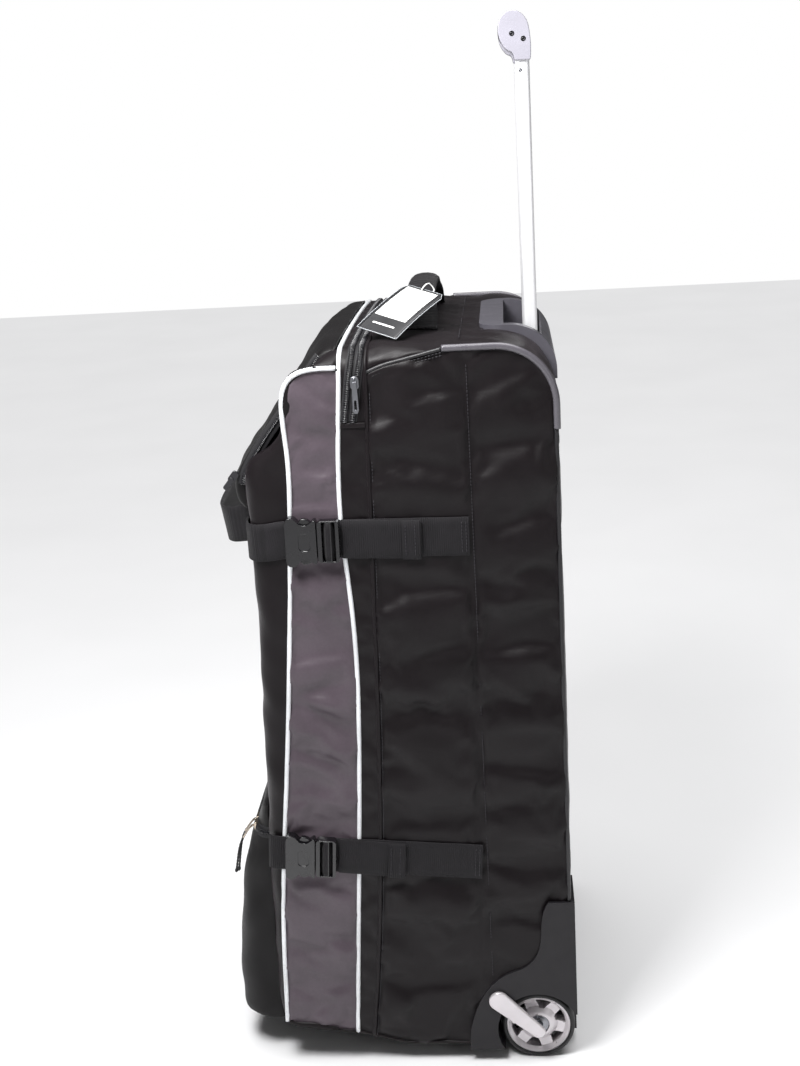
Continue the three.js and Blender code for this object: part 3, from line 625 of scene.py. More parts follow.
def strap_z(strap, y):
    return strap["z"] - (y - strap["y"]) * math.tan(math.radians(strap["tilt"]))


def strap_cap(grid, free, under):
    """how far fabric may stand out: free in the open, under where a strap presses on it"""
    cap = np.full(grid.shape[:2], float(free))
    for s in STRAPS.values():
        y, z = grid[..., 1], grid[..., 2]
        away = np.abs(z - strap_z(s, y)) - WEBBING / 2 - 4
        end = s["y"] + s["length"]
        away = np.maximum(away, y - end - 4)
        t = np.clip(away / 34, 0, 1)
        cap = np.minimum(cap, under + (free - under) * t * t * (3 - 2 * t))
    return cap


# side panels, with one upright seam
SEAM_Y = 88.5
corner_y, corner_z = BACK - CORNER, TOP - CORNER
arc_up = [(corner_y + CORNER * math.cos(a), corner_z + CORNER * math.sin(a))
          for a in np.radians(np.linspace(0, 45, 8))]
arc_top = [(corner_y + CORNER * math.cos(a), corner_z + CORNER * math.sin(a))
           for a in np.radians(np.linspace(90, 45, 8))]
EDGE_TOP = smooth([(rear_seam[-1][0], TOP - SHOULDER + 3), (16, 743), (40, 748.5), (70, TOP - 0.5)],
                  8).tolist()


def at_x(points, x):
    points = np.asarray(points, float)
    return np.column_stack([np.full(len(points), x), points])


def side_grid(rows, columns):
    front = rear_seam[rear_seam[:, 1] < TOP - SHOULDER + 2]
    front = np.vstack([front, [EDGE_TOP[0]]])
    bottom = [(front[0][0], front[0][1]), (0, BOTTOM), (60, BOTTOM), (BACK, BOTTOM)]
    top = EDGE_TOP + [(90, TOP)] + arc_top
    right = [(BACK, BOTTOM), (BACK, corner_z)] + arc_up[1:]
    return coons(*(at_x(c, HALF) for c in (bottom, top, front, right)), rows, columns)


def in_wheel_well(m):
    return math.hypot(m[1] - WHEEL_Y, m[2] - WHEEL_Z) < 46.5


SIDE_FOLDS = [
    (122, 718, 152, 682, -2.6, 8), (108, 726, 140, 690, 1.8, 10), (58, 742, 68, 690, 1.8, 9),
    (8, 672, 50, 708, 2.2, 9), (20, 650, 72, 668, -1.5, 9), (52, 548, 84, 524, 2.2, 8),
    (60, 530, 96, 500, -1.6, 8), (6, 536, 26, 478, 2.0, 8), (112, 484, 156, 512, 1.8, 10),
    (104, 450, 160, 470, -1.6, 10),
    (14, 430, 60, 400, 1.8, 9), (20, 380, 84, 352, -1.5, 10), (100, 330, 160, 356, 1.6, 10),
    (12, 300, 40, 268, 1.6, 8), (20, 200, 74, 170, 1.5, 10),
]
GUSSET_FOLDS = [
    (-97, 416, -37, 394, 4.2, 7), (-97, 388, -38, 338, 4.2, 8), (-97, 350, -42, 306, 4.6, 8),
    (-86, 300, -48, 284, -2.5, 8), (-82, 566, -38, 548, 3.0, 8), (-84, 520, -36, 494, 2.6, 9),
    (-78, 640, -36, 668, 3.0, 9), (-110, 206, -46, 184, 2.6, 9), (-116, 150, -50, 122, 2.0, 10),
]
right_side = side_grid(164, 46)
column = np.argmin(np.abs(right_side[80, :, 1] - SEAM_Y))
sewn = np.zeros(right_side.shape[:2], bool)
sewn[:, column] = True
sunk = right_side.copy()
for offset, depth in ((-1, 0.5), (0, 1.3), (1, 0.5)):
    sunk[2:-2, column + offset, 0] -= depth
side_cap = strap_cap(sunk, 8.0, 0.3)
lower_corner = np.hypot(sunk[..., 1] - BACK, sunk[..., 2] - 20) < 175
side_cap = np.where(lower_corner, np.minimum(side_cap, 1.2), side_cap)
for side, sign, seed in (("right", 1, 3), ("left", -1, 8)):
    panel(f"side_{side}", sunk * (sign, 1, 1), BLACK, [f"side_panel_{side}"], pinned=sewn, slack=0.045,
          pressure=1.2, bend=0.25, cap=side_cap, hole=in_wheel_well, seed=seed, start=2.0, size=70,
          folds=SIDE_FOLDS)

# top panel: crowned, and rounded over the sides towards the front
across_x = np.linspace(1, -1, 84)
across_x = HALF * np.sign(across_x) * (1 - (1 - np.abs(across_x))**1.35)
edge_back = [(corner_y + CORNER * math.cos(a), corner_z + CORNER * math.sin(a))
             for a in np.radians(np.linspace(90, 0, 16))]
top_edge = even(np.vstack([EDGE_TOP, [(90, TOP)], edge_back]), 58)
tangent = np.gradient(top_edge, axis=0)
tangent /= np.linalg.norm(tangent, axis=1)[:, None]
top_normal = np.column_stack([-tangent[:, 1], tangent[:, 0]])
lift = np.interp(top_edge[:, 0], [0, 70, 100], [TOP + 1.5 - EDGE_TOP[0][1], 2.0, 1.0])
top_normal[top_edge[:, 0] < 75] = (0, 1)
crown = np.interp(top_edge[:, 0], [0, 100, BACK], [CROWN, 2.0, 1.0])
top_grid = np.zeros((len(top_edge), len(across_x), 3))
inset = np.clip((HALF - np.abs(across_x)) / SHOULDER, 0, 1)
shoulder = np.sqrt(1 - (1 - inset)**2)
dome = np.clip(1 - (across_x / (HALF - SHOULDER))**2, 0, 1)
for i, (y, z) in enumerate(top_edge):
    rise = lift[i] * shoulder + crown[i] * dome
    top_grid[i] = np.column_stack([across_x, y + top_normal[i, 0] * rise, z + top_normal[i, 1] * rise])


BEZEL_LOW = float(box_mm("handle_bezel")[0][2])


def under_bezel(m):
    return abs(m[0]) < 92 and m[1] > 108 and m[2] > BEZEL_LOW + 5


sewn = np.zeros(top_grid.shape[:2], bool)
sewn[np.argmin(np.abs(top_edge[:, 0] - 82)), :] = True
sewn |= (np.abs(top_grid[..., 0]) < 100) & (top_grid[..., 1] > 99)
panel("top", top_grid, BLACK, ["top_panel"], pinned=sewn, slack=0.010, pressure=0.8,
      cap=np.full(top_grid.shape[:2], 2.5), hole=under_bezel, seed=5)

# back and bottom
back_low = box_mm("back_panel")[0][2]
back_grid = coons([(-HALF, BACK, back_low), (HALF, BACK, back_low)],
                  [(-HALF, BACK, corner_z), (HALF, BACK, corner_z)],
                  [(-HALF, BACK, back_low), (-HALF, BACK, corner_z)],
                  [(HALF, BACK, back_low), (HALF, BACK, corner_z)], 120, 66)
sewn = np.zeros(back_grid.shape[:2], bool)
for z in (210, 560):
    sewn[np.argmin(np.abs(back_grid[:, 0, 2] - z)), :] = True


def behind_wheel(m):
    return abs(m[0]) > 142 and m[2] < 78


panel("back", back_grid, BLACK, ["back_panel"], pinned=sewn, slack=0.008, pressure=1.0,
      cap=np.full(back_grid.shape[:2], 3.0), hole=behind_wheel, seed=6)
bottom_line = even([(BACK, BOTTOM), (0, BOTTOM), (-36, 30.5), (-53, 34.5)], 50)
bottom_grid = np.array([[(x, y, z) for x in np.linspace(-HALF, HALF, 60)] for y, z in bottom_line])


def over_wheel(m):
    return abs(m[0]) > 142 and m[1] > 88


panel("bottom", bottom_grid, BLACK, ["bottom_panel"], slack=0.004, pressure=0.4, hole=over_wheel,
      cap=np.full(bottom_grid.shape[:2], 0.8), seed=7)

# zip flap: one strip up the right side, over the top and down the left
FLAP_TOP_Y = float(box_mm("zip_flap")[1][1])
seam_path = over_top(rear_seam, FLAP_TOP_Y, n=420)
piping_path = over_top(rear_piping, -24.5, n=420)
steps = np.linspace(0, 1, 13)
flap_grid = seam_path[:, None] * (1 - steps[None, :, None]) + piping_path[:, None] * steps[None, :, None]
panel("zip_flap_cover", flap_grid, BLACK, ["zip_flap"], slack=0.012, pressure=0.5, bend=0.3,
      cap=np.where(flap_grid[..., 2] > 684, 0.25, strap_cap(flap_grid, 2.2, 0.3)), seed=11, size=35)

# grey gussets between the two white pipings
gusset_front = np.vstack([front_piping, gusset_top[1:10]])
gusset_back = np.vstack([rear_piping[rear_piping[:, 1] < 736], [gusset_top[-1]]])
gusset_edge = gusset_top[9:]
gusset_grid = coons(*(at_x(c, HALF) for c in (
    [gusset_front[0], gusset_back[0]], gusset_edge, gusset_front, gusset_back)), 180, 21)
for side, sign, seed in (("right", 1, 21), ("left", -1, 24)):
    panel(f"gusset_{side}_cloth", gusset_grid * (sign, 1, 1), GREY, [f"gusset_{side}"], slot="grey_fabric",
          slack=0.05, pressure=1.6, bend=0.2, cap=strap_cap(gusset_grid, 6.0, 1.0), seed=seed,
          start=1.6, size=60, folds=GUSSET_FOLDS)


def wrapped(keys, half, radius, rows, across=22, crown=2.0):
    """a shell that starts at the right edge, turns the corner and crosses to the left. Each key is
    (edge Y, edge Z, face Y, face Z), and the curve runs smoothly through the keys."""
    keys = even(smooth(keys), rows)
    out = []
    for ey, ez, py, pz in keys:
        edge, face = np.array([ey, ez]), np.array([py, pz])
        depth = float(np.linalg.norm(face - edge))
        turn = min(radius, depth)
        line = [(half, d) for d in np.linspace(0, depth - turn, 7)]
        line += [(half - radius * (1 - math.cos(a)), depth - turn * (1 - math.sin(a)))
                 for a in np.radians(np.linspace(0, 90, 10))[1:]]
        line += [(x, depth + crown * (1 - (x / (half - radius))**2))
                 for x in np.linspace(half - radius, 0, across)[1:]]
        line = np.array(line)
        line = np.vstack([line, (line * (-1, 1))[-2::-1]])
        way = (face - edge) / max(depth, 1e-6)
        out.append(np.column_stack([line[:, 0], edge[0] + way[0] * line[:, 1],
                                    edge[1] + way[1] * line[:, 1]]))
    return np.array(out)


front_keys = [
    (-27, 741, -25, 755), (-50, 743.5, -42, 749), (-70, 738, -60, 731), (-81, 715, -68, 704),
    (-81, 680, -94, 670), (-80, 640, -122, 645), (-83, 570, -124, 570), (-90, 480, -124, 480),
    (-98, 410, -126, 410), (-112, 270, -131, 280), (-120, 190, -133, 190), (-125, 110, -134, 110),
    (-127, 62, -133, 62), (-122, 48, -124, 46), (-90, 42, -92, 41), (-53, 36, -53, 34.5),
]
front_grid = wrapped(front_keys, HALF, 20, 170, crown=1.0)
panel("front_body", front_grid, BLACK, ["front_cover"], slack=0.014, pressure=0.8, bend=0.4,
      cap=strap_cap(front_grid, 3.5, 0.3), seed=31, start=1.5)

upper_keys = [
    (-31, 755, -29, 760), (-45, 748, -50, 751), (-72, 710, -86, 706), (-98, 676, -114, 669),
    (-112, 653, -131, 646), (-122, 634, -138, 630), (-124, 615, -136, 615), (-124, 606, -127, 606),
]
upper_grid = wrapped(upper_keys, POCKET_HALF, 12, 76, crown=8.0)
panel("upper_pocket_shell", upper_grid, POCKET, ["upper_pocket"], slack=0.014, pressure=1.5, bend=0.4,
      cap=np.full(upper_grid.shape[:2], 4.0), seed=41, start=1.5)

lower_keys = [
    (-130, 292, -132, 293), (-131, 284, -140, 287), (-131, 262, -147.5, 262), (-131, 232, -159, 234),
    (-132, 180, -171, 182), (-133, 110, -178, 112), (-134, 62, -179.5, 62), (-134, 48, -179, 47),
    (-133, 42, -174, 39), (-131, 39.5, -155, 38), (-127, 39.5, -130, 39),
]
lower_grid = wrapped(lower_keys, POCKET_HALF, 26, 120, crown=1.0)
panel("lower_pocket_shell", lower_grid, POCKET, ["lower_pocket"], slack=0.014, pressure=1.5, bend=0.4,
      cap=np.full(lower_grid.shape[:2], 2.0), seed=43, start=1.5)

simulate()

# ---------- piping ----------
PIPING = 2.3
build("piping_rear_white", *tube(piping_path, PIPING, 10), WHITE_PIPING)
for side, sign in (("right", 1), ("left", -1)):
    line = at_x(np.vstack([front_piping, gusset_top[1:]]), HALF) * (sign, 1, 1)
    build(f"piping_front_white_{side}", *tube(even(line, 260), PIPING, 10), WHITE_PIPING)
    top_line = at_x(even(EDGE_TOP, 30), HALF) * (sign, 1, 1)
    build(f"piping_top_{side}", *tube(top_line, 1.9, 8), BLACK_PIPING)
    back_line = np.array([(HALF - 0.5, BACK - 1, z) for z in (678, 400, 186)])
    build(f"piping_back_{side}", *tube(even(back_line * (sign, 1, 1), 120), 2.2, 8), BLACK_PIPING)
    guard_line = [(70, TOP), (84, TOP)] + edge_back + [(BACK, 688), (BACK, 677)]
    guard_line = even(at_x(guard_line, HALF + 0.3), 90) * (sign, 1, 1)
    build(f"guard_{side}", *sweep(guard_line, circle(3.3, 14)), GUARD, stands_for=[f"corner_guard_{side}"],
          slot="grey_plastic")
build("piping_seam", *tube(seam_path, 2.0, 8), BLACK)

# ---------- seams, zips and stitching on the fabric ----------
def outward(points, across):
    """unit directions that stand off the bag, square to a path and its across direction"""
    along = np.gradient(points, axis=0)
    normal = np.cross(across, along)
    normal /= np.linalg.norm(normal, axis=1)[:, None]
    inside = np.sum(normal * (points - BAG_CENTRE), axis=1) < 0
    normal[inside] *= -1
    return normal


def zip_line(name, points, across, body="bag", width=2.5, tape=12.0, pitch=1.7):
    """a coil zip: woven tape with a spiral of teeth along its middle"""
    across = across / np.linalg.norm(across, axis=1)[:, None]
    normal = outward(points, across)
    build(f"{name}_tape", *sweep(points + normal * 0.6, slab(tape, 0.8, 4, 0.3), side=across), TAPE, body)
    run = np.r_[0, np.cumsum(np.linalg.norm(np.diff(points, axis=0), axis=1))]
    at = np.arange(0, run[-1], pitch / 8)

    def dense(values):
        return np.column_stack([np.interp(at, run, values[:, k]) for k in range(3)])

    turn = (2 * math.pi * at / pitch)[:, None]
    coil = (dense(points) + dense(across) * width * np.cos(turn)
            + dense(normal) * (1.9 + 0.8 * np.sin(turn)))
    build(f"{name}_coil", *tube(coil, 0.48, 5), COIL, body)


ZIP_FOOT = 688
zip_rows = seam_path[:, 2] > ZIP_FOOT + 2
for number, (low, mid, high) in enumerate([(0.78, 0.64, 0.50), (0.50, 0.32, 0.16)], 1):
    share = np.interp(seam_path[:, 2], [690, 731, 753], [low, mid, high])[:, None]
    line = (seam_path + (piping_path - seam_path) * share)[zip_rows]
    line = smooth(even(line, 70), 4)
    way = even((piping_path - seam_path)[zip_rows], 70)
    zip_line(f"main_zip_{number}", even(line, 260), even(smooth(way, 4), 260), tape=8.5)
for side, sign in (("right", 1), ("left", -1)):
    a, b = (curve[np.argmin(abs(curve[:, 1] - ZIP_FOOT - 1))] for curve in (rear_seam, rear_piping))
    hem = np.array([(HALF + 1.2, a[0] - 1, ZIP_FOOT), (HALF + 1.6, (a[0] + b[0]) / 2, ZIP_FOOT),
                    (HALF + 1.2, b[0] + 2, ZIP_FOOT)])
    build(f"zip_hem_{side}", *sweep(even(hem, 12) * (sign, 1, 1), slab(5, 1.2, 4), side=(0, 0, 1)), BLACK)

SEW = 3.2
rows = []
for sign in (1, -1):
    rows.append(at_x(even(rear_seam[rear_seam[:, 1] < 725] + (SEW, 0), 200), HALF + 1.2) * (sign, 1, 1))
    rows.append(even([(HALF + 0.4, SEAM_Y + 3.0, 100), (HALF + 0.4, SEAM_Y + 3.0, 742)], 200) * (sign, 1, 1))
    rows.append(even([(HALF - 3, BACK + 0.9, 190), (HALF - 3, BACK + 0.9, 690)], 100) * (sign, 1, 1))
    for shift in (3.2, 6.0):
        rows.append(even(at_x(np.array(EDGE_TOP) - (0, shift), HALF + 0.7), 40) * (sign, 1, 1))
rows.append(np.column_stack([np.linspace(-150, 150, 100), np.full(100, 85.0), np.full(100, TOP + 3.6)]))
stitches("seam_stitching", rows)

# side zip of the upper pocket: along the sloping edge, facing sideways
slope_rows = slice(7, 66)
for side, sign in (("right", 1), ("left", -1)):
    edge = upper_grid[slope_rows, 0]
    face = upper_grid[slope_rows, 7]
    line = edge + (face - edge) * 0.62
    line = even(smooth(even(line, 24), 4), 150)
    way = even(face - edge, 150)
    line[:, 0] = POCKET_HALF + 0.6
    zip_line(f"upper_pocket_zip_{side}", line * (sign, 1, 1), way, tape=11.0, width=2.8)

# zip of the lower pocket: across its upper slope and a little way down both sides
row = int(np.argmin(np.abs(lower_grid[:, 30, 2] - 259)))
line = even(smooth(even(lower_grid[row, 5:-5], 60), 4), 240)
way = np.tile([0, -0.35, -0.94], (240, 1)).astype(float)
zip_line("lower_pocket_zip", line, way, tape=12.0, width=2.6)

# ---------- compression straps ----------
def on_strap(s, u, v, x):
    """a point u along a strap, v up and x out from the middle of the bag"""
    t = math.radians(s["tilt"])
    u, v = np.asarray(u, float), np.asarray(v, float)
    return np.stack(np.broadcast_arrays(
        x, s["y"] + u * math.cos(t) + v * math.sin(t), s["z"] - u * math.sin(t) + v * math.cos(t)), -1)


def webbing(path, side, width=WEBBING, thickness=1.7, rib=2.1, step=0.42):
    """flat webbing along a path, ribbed across its length"""
    run = np.linalg.norm(np.diff(path, axis=0), axis=1).sum()
    path = even(path, max(8, int(run / step)))
    at = np.linspace(0, run, len(path))
    flat = slab(width, thickness, 6)
    swell = 1 + 0.14 * np.sin(2 * math.pi * at / rib)
    section = flat[None] * np.stack([np.ones_like(swell), swell], 1)[:, None]
    return sweep(path, section, side=side)


BAND_Z = sum(box_mm("grab_loop")[i][2] for i in (0, 1)) / 2
FRONT_Y = float(box_mm("grab_loop")[1][1]) - 1.0
for level, s in STRAPS.items():
    t = math.radians(s["tilt"])
    rise = (0, math.sin(t), math.cos(t))
    u = np.linspace(49, s["length"], 60)
    under = on_strap(s, u, 0, HALF + 1.5 + 0.5 * np.sin(u / 14)**2)
    bridge = on_strap(s, [34, 36.5, 38.5, 40, 43, 44.5, 46.5, 49], 0,
                      np.array([183.8, 184.6, 189.5, 191.9, 191.9, 189.5, 184.5, 182.0]))
    base = webbing(np.vstack([smooth(bridge, 6), under[1:]]), rise)
    u = np.linspace(54, s["tail"], 40)
    wave = 1.0 + 0.9 * np.sin((u - 54) / 9.0)**2 * np.linspace(0.3, 1, 40)
    over = on_strap(s, u, np.linspace(0, -1.5, 40), HALF + 2.5 + wave)
    back = on_strap(s, [s["tail"] + 0.9, s["tail"], s["tail"] - 8, s["tail"] - 16], -1.5,
                    np.array([HALF + 5.0, HALF + 6.2, HALF + 6.0, HALF + 5.6]))
    tail = webbing(np.vstack([over, smooth(back, 6)]), rise)
    lines = []
    for at in (s["length"] - 3, s["length"] - 7):
        lines.append(on_strap(s, at, np.linspace(-17, 17, 30), HALF + 3.0))
    for at in (s["tail"] - 4, s["tail"] - 13):
        lines.append(on_strap(s, at, np.linspace(-18, 15, 30), HALF + 7.2))
    for side, sign in (("right", 1), ("left", -1)):
        parts = [base, tail]
        pieces = join(*(p if sign > 0 else flipped(p) for p in parts))
        build(f"{level}_webbing_{side}", *pieces, WEB, stands_for=[f"{level}_strap_{side}"], slot="webbing")
        stitches(f"{level}_webbing_stitches_{side}", [l * (sign, 1, 1) for l in lines])

# the anchor webbing in front of each buckle
s = STRAPS["upper"]
anchor = np.array([(187.5, s["y"] + 5.5, s["z"]), (184, s["y"] + 2, s["z"]), (182.5, s["y"] - 4, s["z"]),
                   (182, -104, BAND_Z + 1), (178, -117, BAND_Z), (168, -124.5, BAND_Z),
                   (150, FRONT_Y, BAND_Z), (112, FRONT_Y, BAND_Z)])
loop = np.array([(108, FRONT_Y - 1.8, BAND_Z), (101, -140, BAND_Z - 2), (92, -156, BAND_Z - 5),
                 (74, -165, BAND_Z - 6), (40, -168, BAND_Z - 6), (0, -168.5, BAND_Z - 6)])
loop = smooth(np.vstack([[(128, FRONT_Y - 1.8, BAND_Z)], loop]), 10)
loop = np.vstack([loop, mirrored(loop[-2::-1])])
lean = np.column_stack([np.zeros(len(loop)), np.interp(loop[:, 1], [-165, -130], [-0.30, 0.0]),
                        np.ones(len(loop))])
band = webbing(even([(112, FRONT_Y, BAND_Z), (-112, FRONT_Y, BAND_Z)], 60), (0, 0, 1), 37)
wrap = webbing(smooth(anchor, 10), (0, 0, 1), 37)
handle_loop = sweep(even(loop, 500), slab(37, 2.2, 6), side=even(lean, 500))
build("front_grab_loop", *join(band, wrap, flipped(wrap), handle_loop), WEB_X, stands_for=["grab_loop"],
      slot="webbing")
loop_rows = []
for x in (110, 114, 124):
    for sign in (1, -1):
        loop_rows.append(np.column_stack([np.full(30, x * sign), np.full(30, FRONT_Y - 3.0),
                                          np.linspace(BAND_Z - 16, BAND_Z + 16, 30)]))
stitches("grab_loop_stitches", loop_rows)
s = STRAPS["lower"]
tab = on_strap(s, [6, 2.5, -1, -8, -14, -18], 0, np.array([187.5, 184.2, 182.8, 182.3, 181.5, 178.5]))
t = math.radians(s["tilt"])
tab = webbing(smooth(tab, 8), (0, math.sin(t), math.cos(t)), 37)
build("lower_anchor_right", *tab, WEB, slot="webbing")
build("lower_anchor_left", *flipped(tab), WEB, slot="webbing")


# ---------- side-release buckles ----------
def strap_outline(s, points):
    return on_strap(s, [p[0] for p in points], [p[1] for p in points], 0.0)[:, 1:]


def both_sides(half):
    """a symmetric outline from its upper half"""
    return half + [(u, -v) for u, v in half[::-1]]


FEMALE = both_sides([(0.4, 0), (0.4, 18), (1.2, 21.6), (3.2, 23.6), (6.5, 24), (9.5, 23.2), (12, 20.6),
                     (14.5, 18.0), (18, 16.8), (22, 17.2), (25, 19.4), (27.5, 21.4), (29.2, 21.4), (30, 20),
                     (30, 0)])
PRONG = [(13.2, 15), (14, 20.4), (16, 22.4), (19, 22.6), (22.5, 21.6), (25.5, 19), (27, 15)]
for level, s in STRAPS.items():
    for side, sign in (("right", 1), ("left", -1)):
        def place(part):
            return part if sign > 0 else flipped(part)

        female = build(f"{level}_buckle_socket_{side}", *place(prism(strap_outline(s, FEMALE), 182.6, 193.2)),
                       BUCKLE, stands_for=[f"{level}_buckle_female_{side}"], slot="buckle_plastic")
        slot_front = prism(strap_outline(s, rounded(3.4, 39, 1.2, 5.2, 0)), 180, 188.5)
        mouth = prism(strap_outline(s, rounded(14, 31, 2, 24.5, 0)), 185.2, 190.8)
        dish = prism(strap_outline(s, rounded(11, 17, 4, 18.5, 0)), 192.4, 196)
        carve(female, place(slot_front), place(mouth), place(dish))
        soften(female, 1.1, 3)
        male = build(f"{level}_buckle_plug_{side}",
                     *place(prism(strap_outline(s, rounded(20.5, BUCKLE_W - 7, 3.2, 41.2, 0)), 182.6, 192.6)),
                     BUCKLE, stands_for=[f"{level}_buckle_male_{side}"], slot="buckle_plastic")
        carve(male, place(prism(strap_outline(s, rounded(4.0, 38.6, 1, 37.2, 0)), 178, 200)),
              place(prism(strap_outline(s, rounded(3.8, 38.6, 1, 46.2, 0)), 178, 200)))
        soften(male, 0.9, 3)
        parts = [prism(strap_outline(s, PRONG), 185.4, 190.6),
                 prism(strap_outline(s, [(u, -v) for u, v in PRONG]), 185.4, 190.6)]
        prongs = build(f"{level}_buckle_prongs_{side}", *join(*(place(p) for p in parts)), BUCKLE)
        soften(prongs, 0.8, 3)

# ---------- top carrying handle ----------
low, high = box_mm("top_handle")
HANDLE_Y = float(low[1] + high[1]) / 2
APEX = float(high[2]) - 9
arch = smooth([(104, HANDLE_Y, TOP + 6), (92, HANDLE_Y, TOP + 6.5), (84, HANDLE_Y, TOP + 13),
               (70, HANDLE_Y, APEX - 12), (46, HANDLE_Y, APEX - 2.5), (20, HANDLE_Y, APEX),
               (0, HANDLE_Y, APEX)], 10)
arch = np.vstack([arch, mirrored(arch[-2::-1])])
arch = even(arch, 420)
reach = np.abs(arch[:, 0])
roll = np.clip((80 - reach) / 18, 0, 1)
roll = roll * roll * (3 - 2 * roll)
flat = slab(33, 2.4, 6)
angles = np.arctan2(flat[:, 1] * 12, flat[:, 0])
padded_shape = np.column_stack([14.5 * np.cos(angles), 6.2 * np.sin(angles)])
ribs = 1 + 0.05 * np.sin(np.arange(420) * 2.2)
section = flat[None] * (1 - roll)[:, None, None] + padded_shape[None] * roll[:, None, None]
section = section * np.stack([np.ones(420), ribs], 1)[:, None]
handle = build("carry_handle", *sweep(arch, section, side=(0, 1, 0)), WEB_X,
               stands_for=["top_handle"], slot="webbing")
patches, rows = [], []
for sign in (1, -1):
    patch = [(x, y) for x, y in rounded(30, 44, 5, 96 * sign, HANDLE_Y)]
    patches.append(prism(patch, TOP + 3.2, TOP + 5.0, axis="z"))
    for x in (86, 104):
        rows.append(np.column_stack([np.full(30, x * sign), np.linspace(HANDLE_Y - 18, HANDLE_Y + 18, 30),
                                     np.full(30, TOP + 8.0 if x > 90 else TOP + 8.4)]))
soften(build("carry_handle_patches", *join(*patches), BLACK), 0.8)
stitches("carry_handle_stitches", rows)

# ---------- telescopic handle ----------
RIVET_Y, RIVET_Z = 151, 994
tube_foot, tube_top = float(tube_low[2]), float(tube_high[2])
width, depth = (float(tube_high[i] - tube_low[i]) for i in (0, 1))
for side, sign in (("right", 1), ("left", -1)):
    outline = rounded(width, depth, 4.0, TUBE_X * sign, TUBE_Y, 8)
    inner = rounded(width - 2.4, depth - 2.4, 2.9, TUBE_X * sign, TUBE_Y, 8)
    stage = build(f"handle_tube_{side}", *prism(outline, tube_foot, tube_top, axis="z"), ALUMINIUM, "trolley",
                  [f"inner_tube_{side}"], "aluminium")
    carve(stage, prism(inner, tube_foot - 5, tube_top + 5, axis="z"),
          prism([(RIVET_Y + 1.7 * math.cos(a), RIVET_Z + 1.7 * math.sin(a))
                 for a in np.linspace(0, 6.28, 17)[:-1]],
                (TUBE_X + width / 2 - 2.5) if sign > 0 else -(TUBE_X + width / 2 + 2),
                (TUBE_X + width / 2 + 2) if sign > 0 else -(TUBE_X + width / 2 - 2.5)))
    soften(stage, 0.3, 2)
    head = [(0.05, 0), (1.5, 0), (1.5, 1.2), (1.0, 1.8), (0.05, 2.0)]
    rivet = build(f"tube_rivet_{side}", *lathe(head, RIVET_Y, RIVET_Z, 20), STEEL, "trolley")
    seat = sign * (TUBE_X + width / 2 - 1.9) - (0 if sign > 0 else 2.0)
    rivet.data.transform(Matrix.Translation((seat * MM, 0, 0)))

grip_low, grip_high = box_mm("grip_cap_right")
CAP = smooth([(146, 1003), (144, 1009.5), (138.5, 1013), (133.6, 1020), (131.3, 1030), (133.6, 1041),
              (141.5, 1046.6), (151, 1045.4), (158.4, 1037), (161.0, 1022), (161.2, 1010), (160.6, 1003)], 6)
bar_y, bar_z = 144.0, 1031.5
for side, sign in (("right", 1), ("left", -1)):
    x0, x1 = sorted((sign * float(grip_low[0]), sign * float(grip_high[0])))
    cap = build(f"grip_end_{side}", *prism(CAP, x0, x1), GRIP, "trolley", [f"grip_cap_{side}"],
                "grip_plastic")
    sink = [(144, 1026.5), (154.5, 1021.5)]
    outer = x1 if sign > 0 else x0
    soften(cap, 3.6, 5, 50)
    bpy.context.view_layer.update()
    bake(cap)
    holes = []
    for y, z in sink:
        ring = [(y + 2.5 * math.cos(a), z + 2.5 * math.sin(a)) for a in np.linspace(0, 2 * math.pi, 21)[:-1]]
        holes.append(prism(ring, outer - 2.2, outer + 2.2))
    carve(cap, *holes)
    screws = []
    for y, z in sink:
        head, cross = outer - sign * 2.2, []
        points, faces = lathe([(0.05, 0), (2.2, 0), (2.2, 0.9 * sign), (1.6, 1.3 * sign), (0.9, 1.35 * sign),
                               (0.7, 0.5 * sign), (0.05, 0.5 * sign)], y, z, 24)
        points[:, 0] += head
        screws.append((points, faces))
    build(f"grip_screws_{side}", *join(*screws), COIL, "trolley")
ring = [(bar_y + 12.8 * math.cos(a), bar_z + 13.8 * math.sin(a))
        for a in np.linspace(0, 2 * math.pi, 49)[:-1]]
bar = np.linspace(-54.6, 54.6, 90)
swell = 1 + 0.012 * np.cos(bar * 2 * math.pi / 7.8)
sections = np.array([[(x, bar_y + (y - bar_y) * k, bar_z + (z - bar_z) * k) for y, z in ring]
                     for x, k in zip(bar, swell)])
faces = grid_faces(90, 48, wrap=True) + [list(range(48))[::-1], list(range(89 * 48, 90 * 48))]
grip = build("grip_handle", sections.reshape(-1, 3), faces, SOFT_GRIP, "trolley", ["grip_bar"],
             "dark_plastic")
low, high = box_mm("grip_button")
carve(grip, block((low[0] - 0.4, low[1] - 0.4, low[2] - 12), (high[0] + 0.4, high[1] + 0.4, high[2] + 20)))
button_top = rounded(high[0] - low[0], high[1] - low[1], 4, 0, (low[1] + high[1]) / 2)
button = build("release_button", *prism(button_top, float(low[2]), float(high[2]), axis="z"), PLASTIC,
               "grip_button", ["grip_button"], "dark_plastic")
soften(button, 0.9, 4)

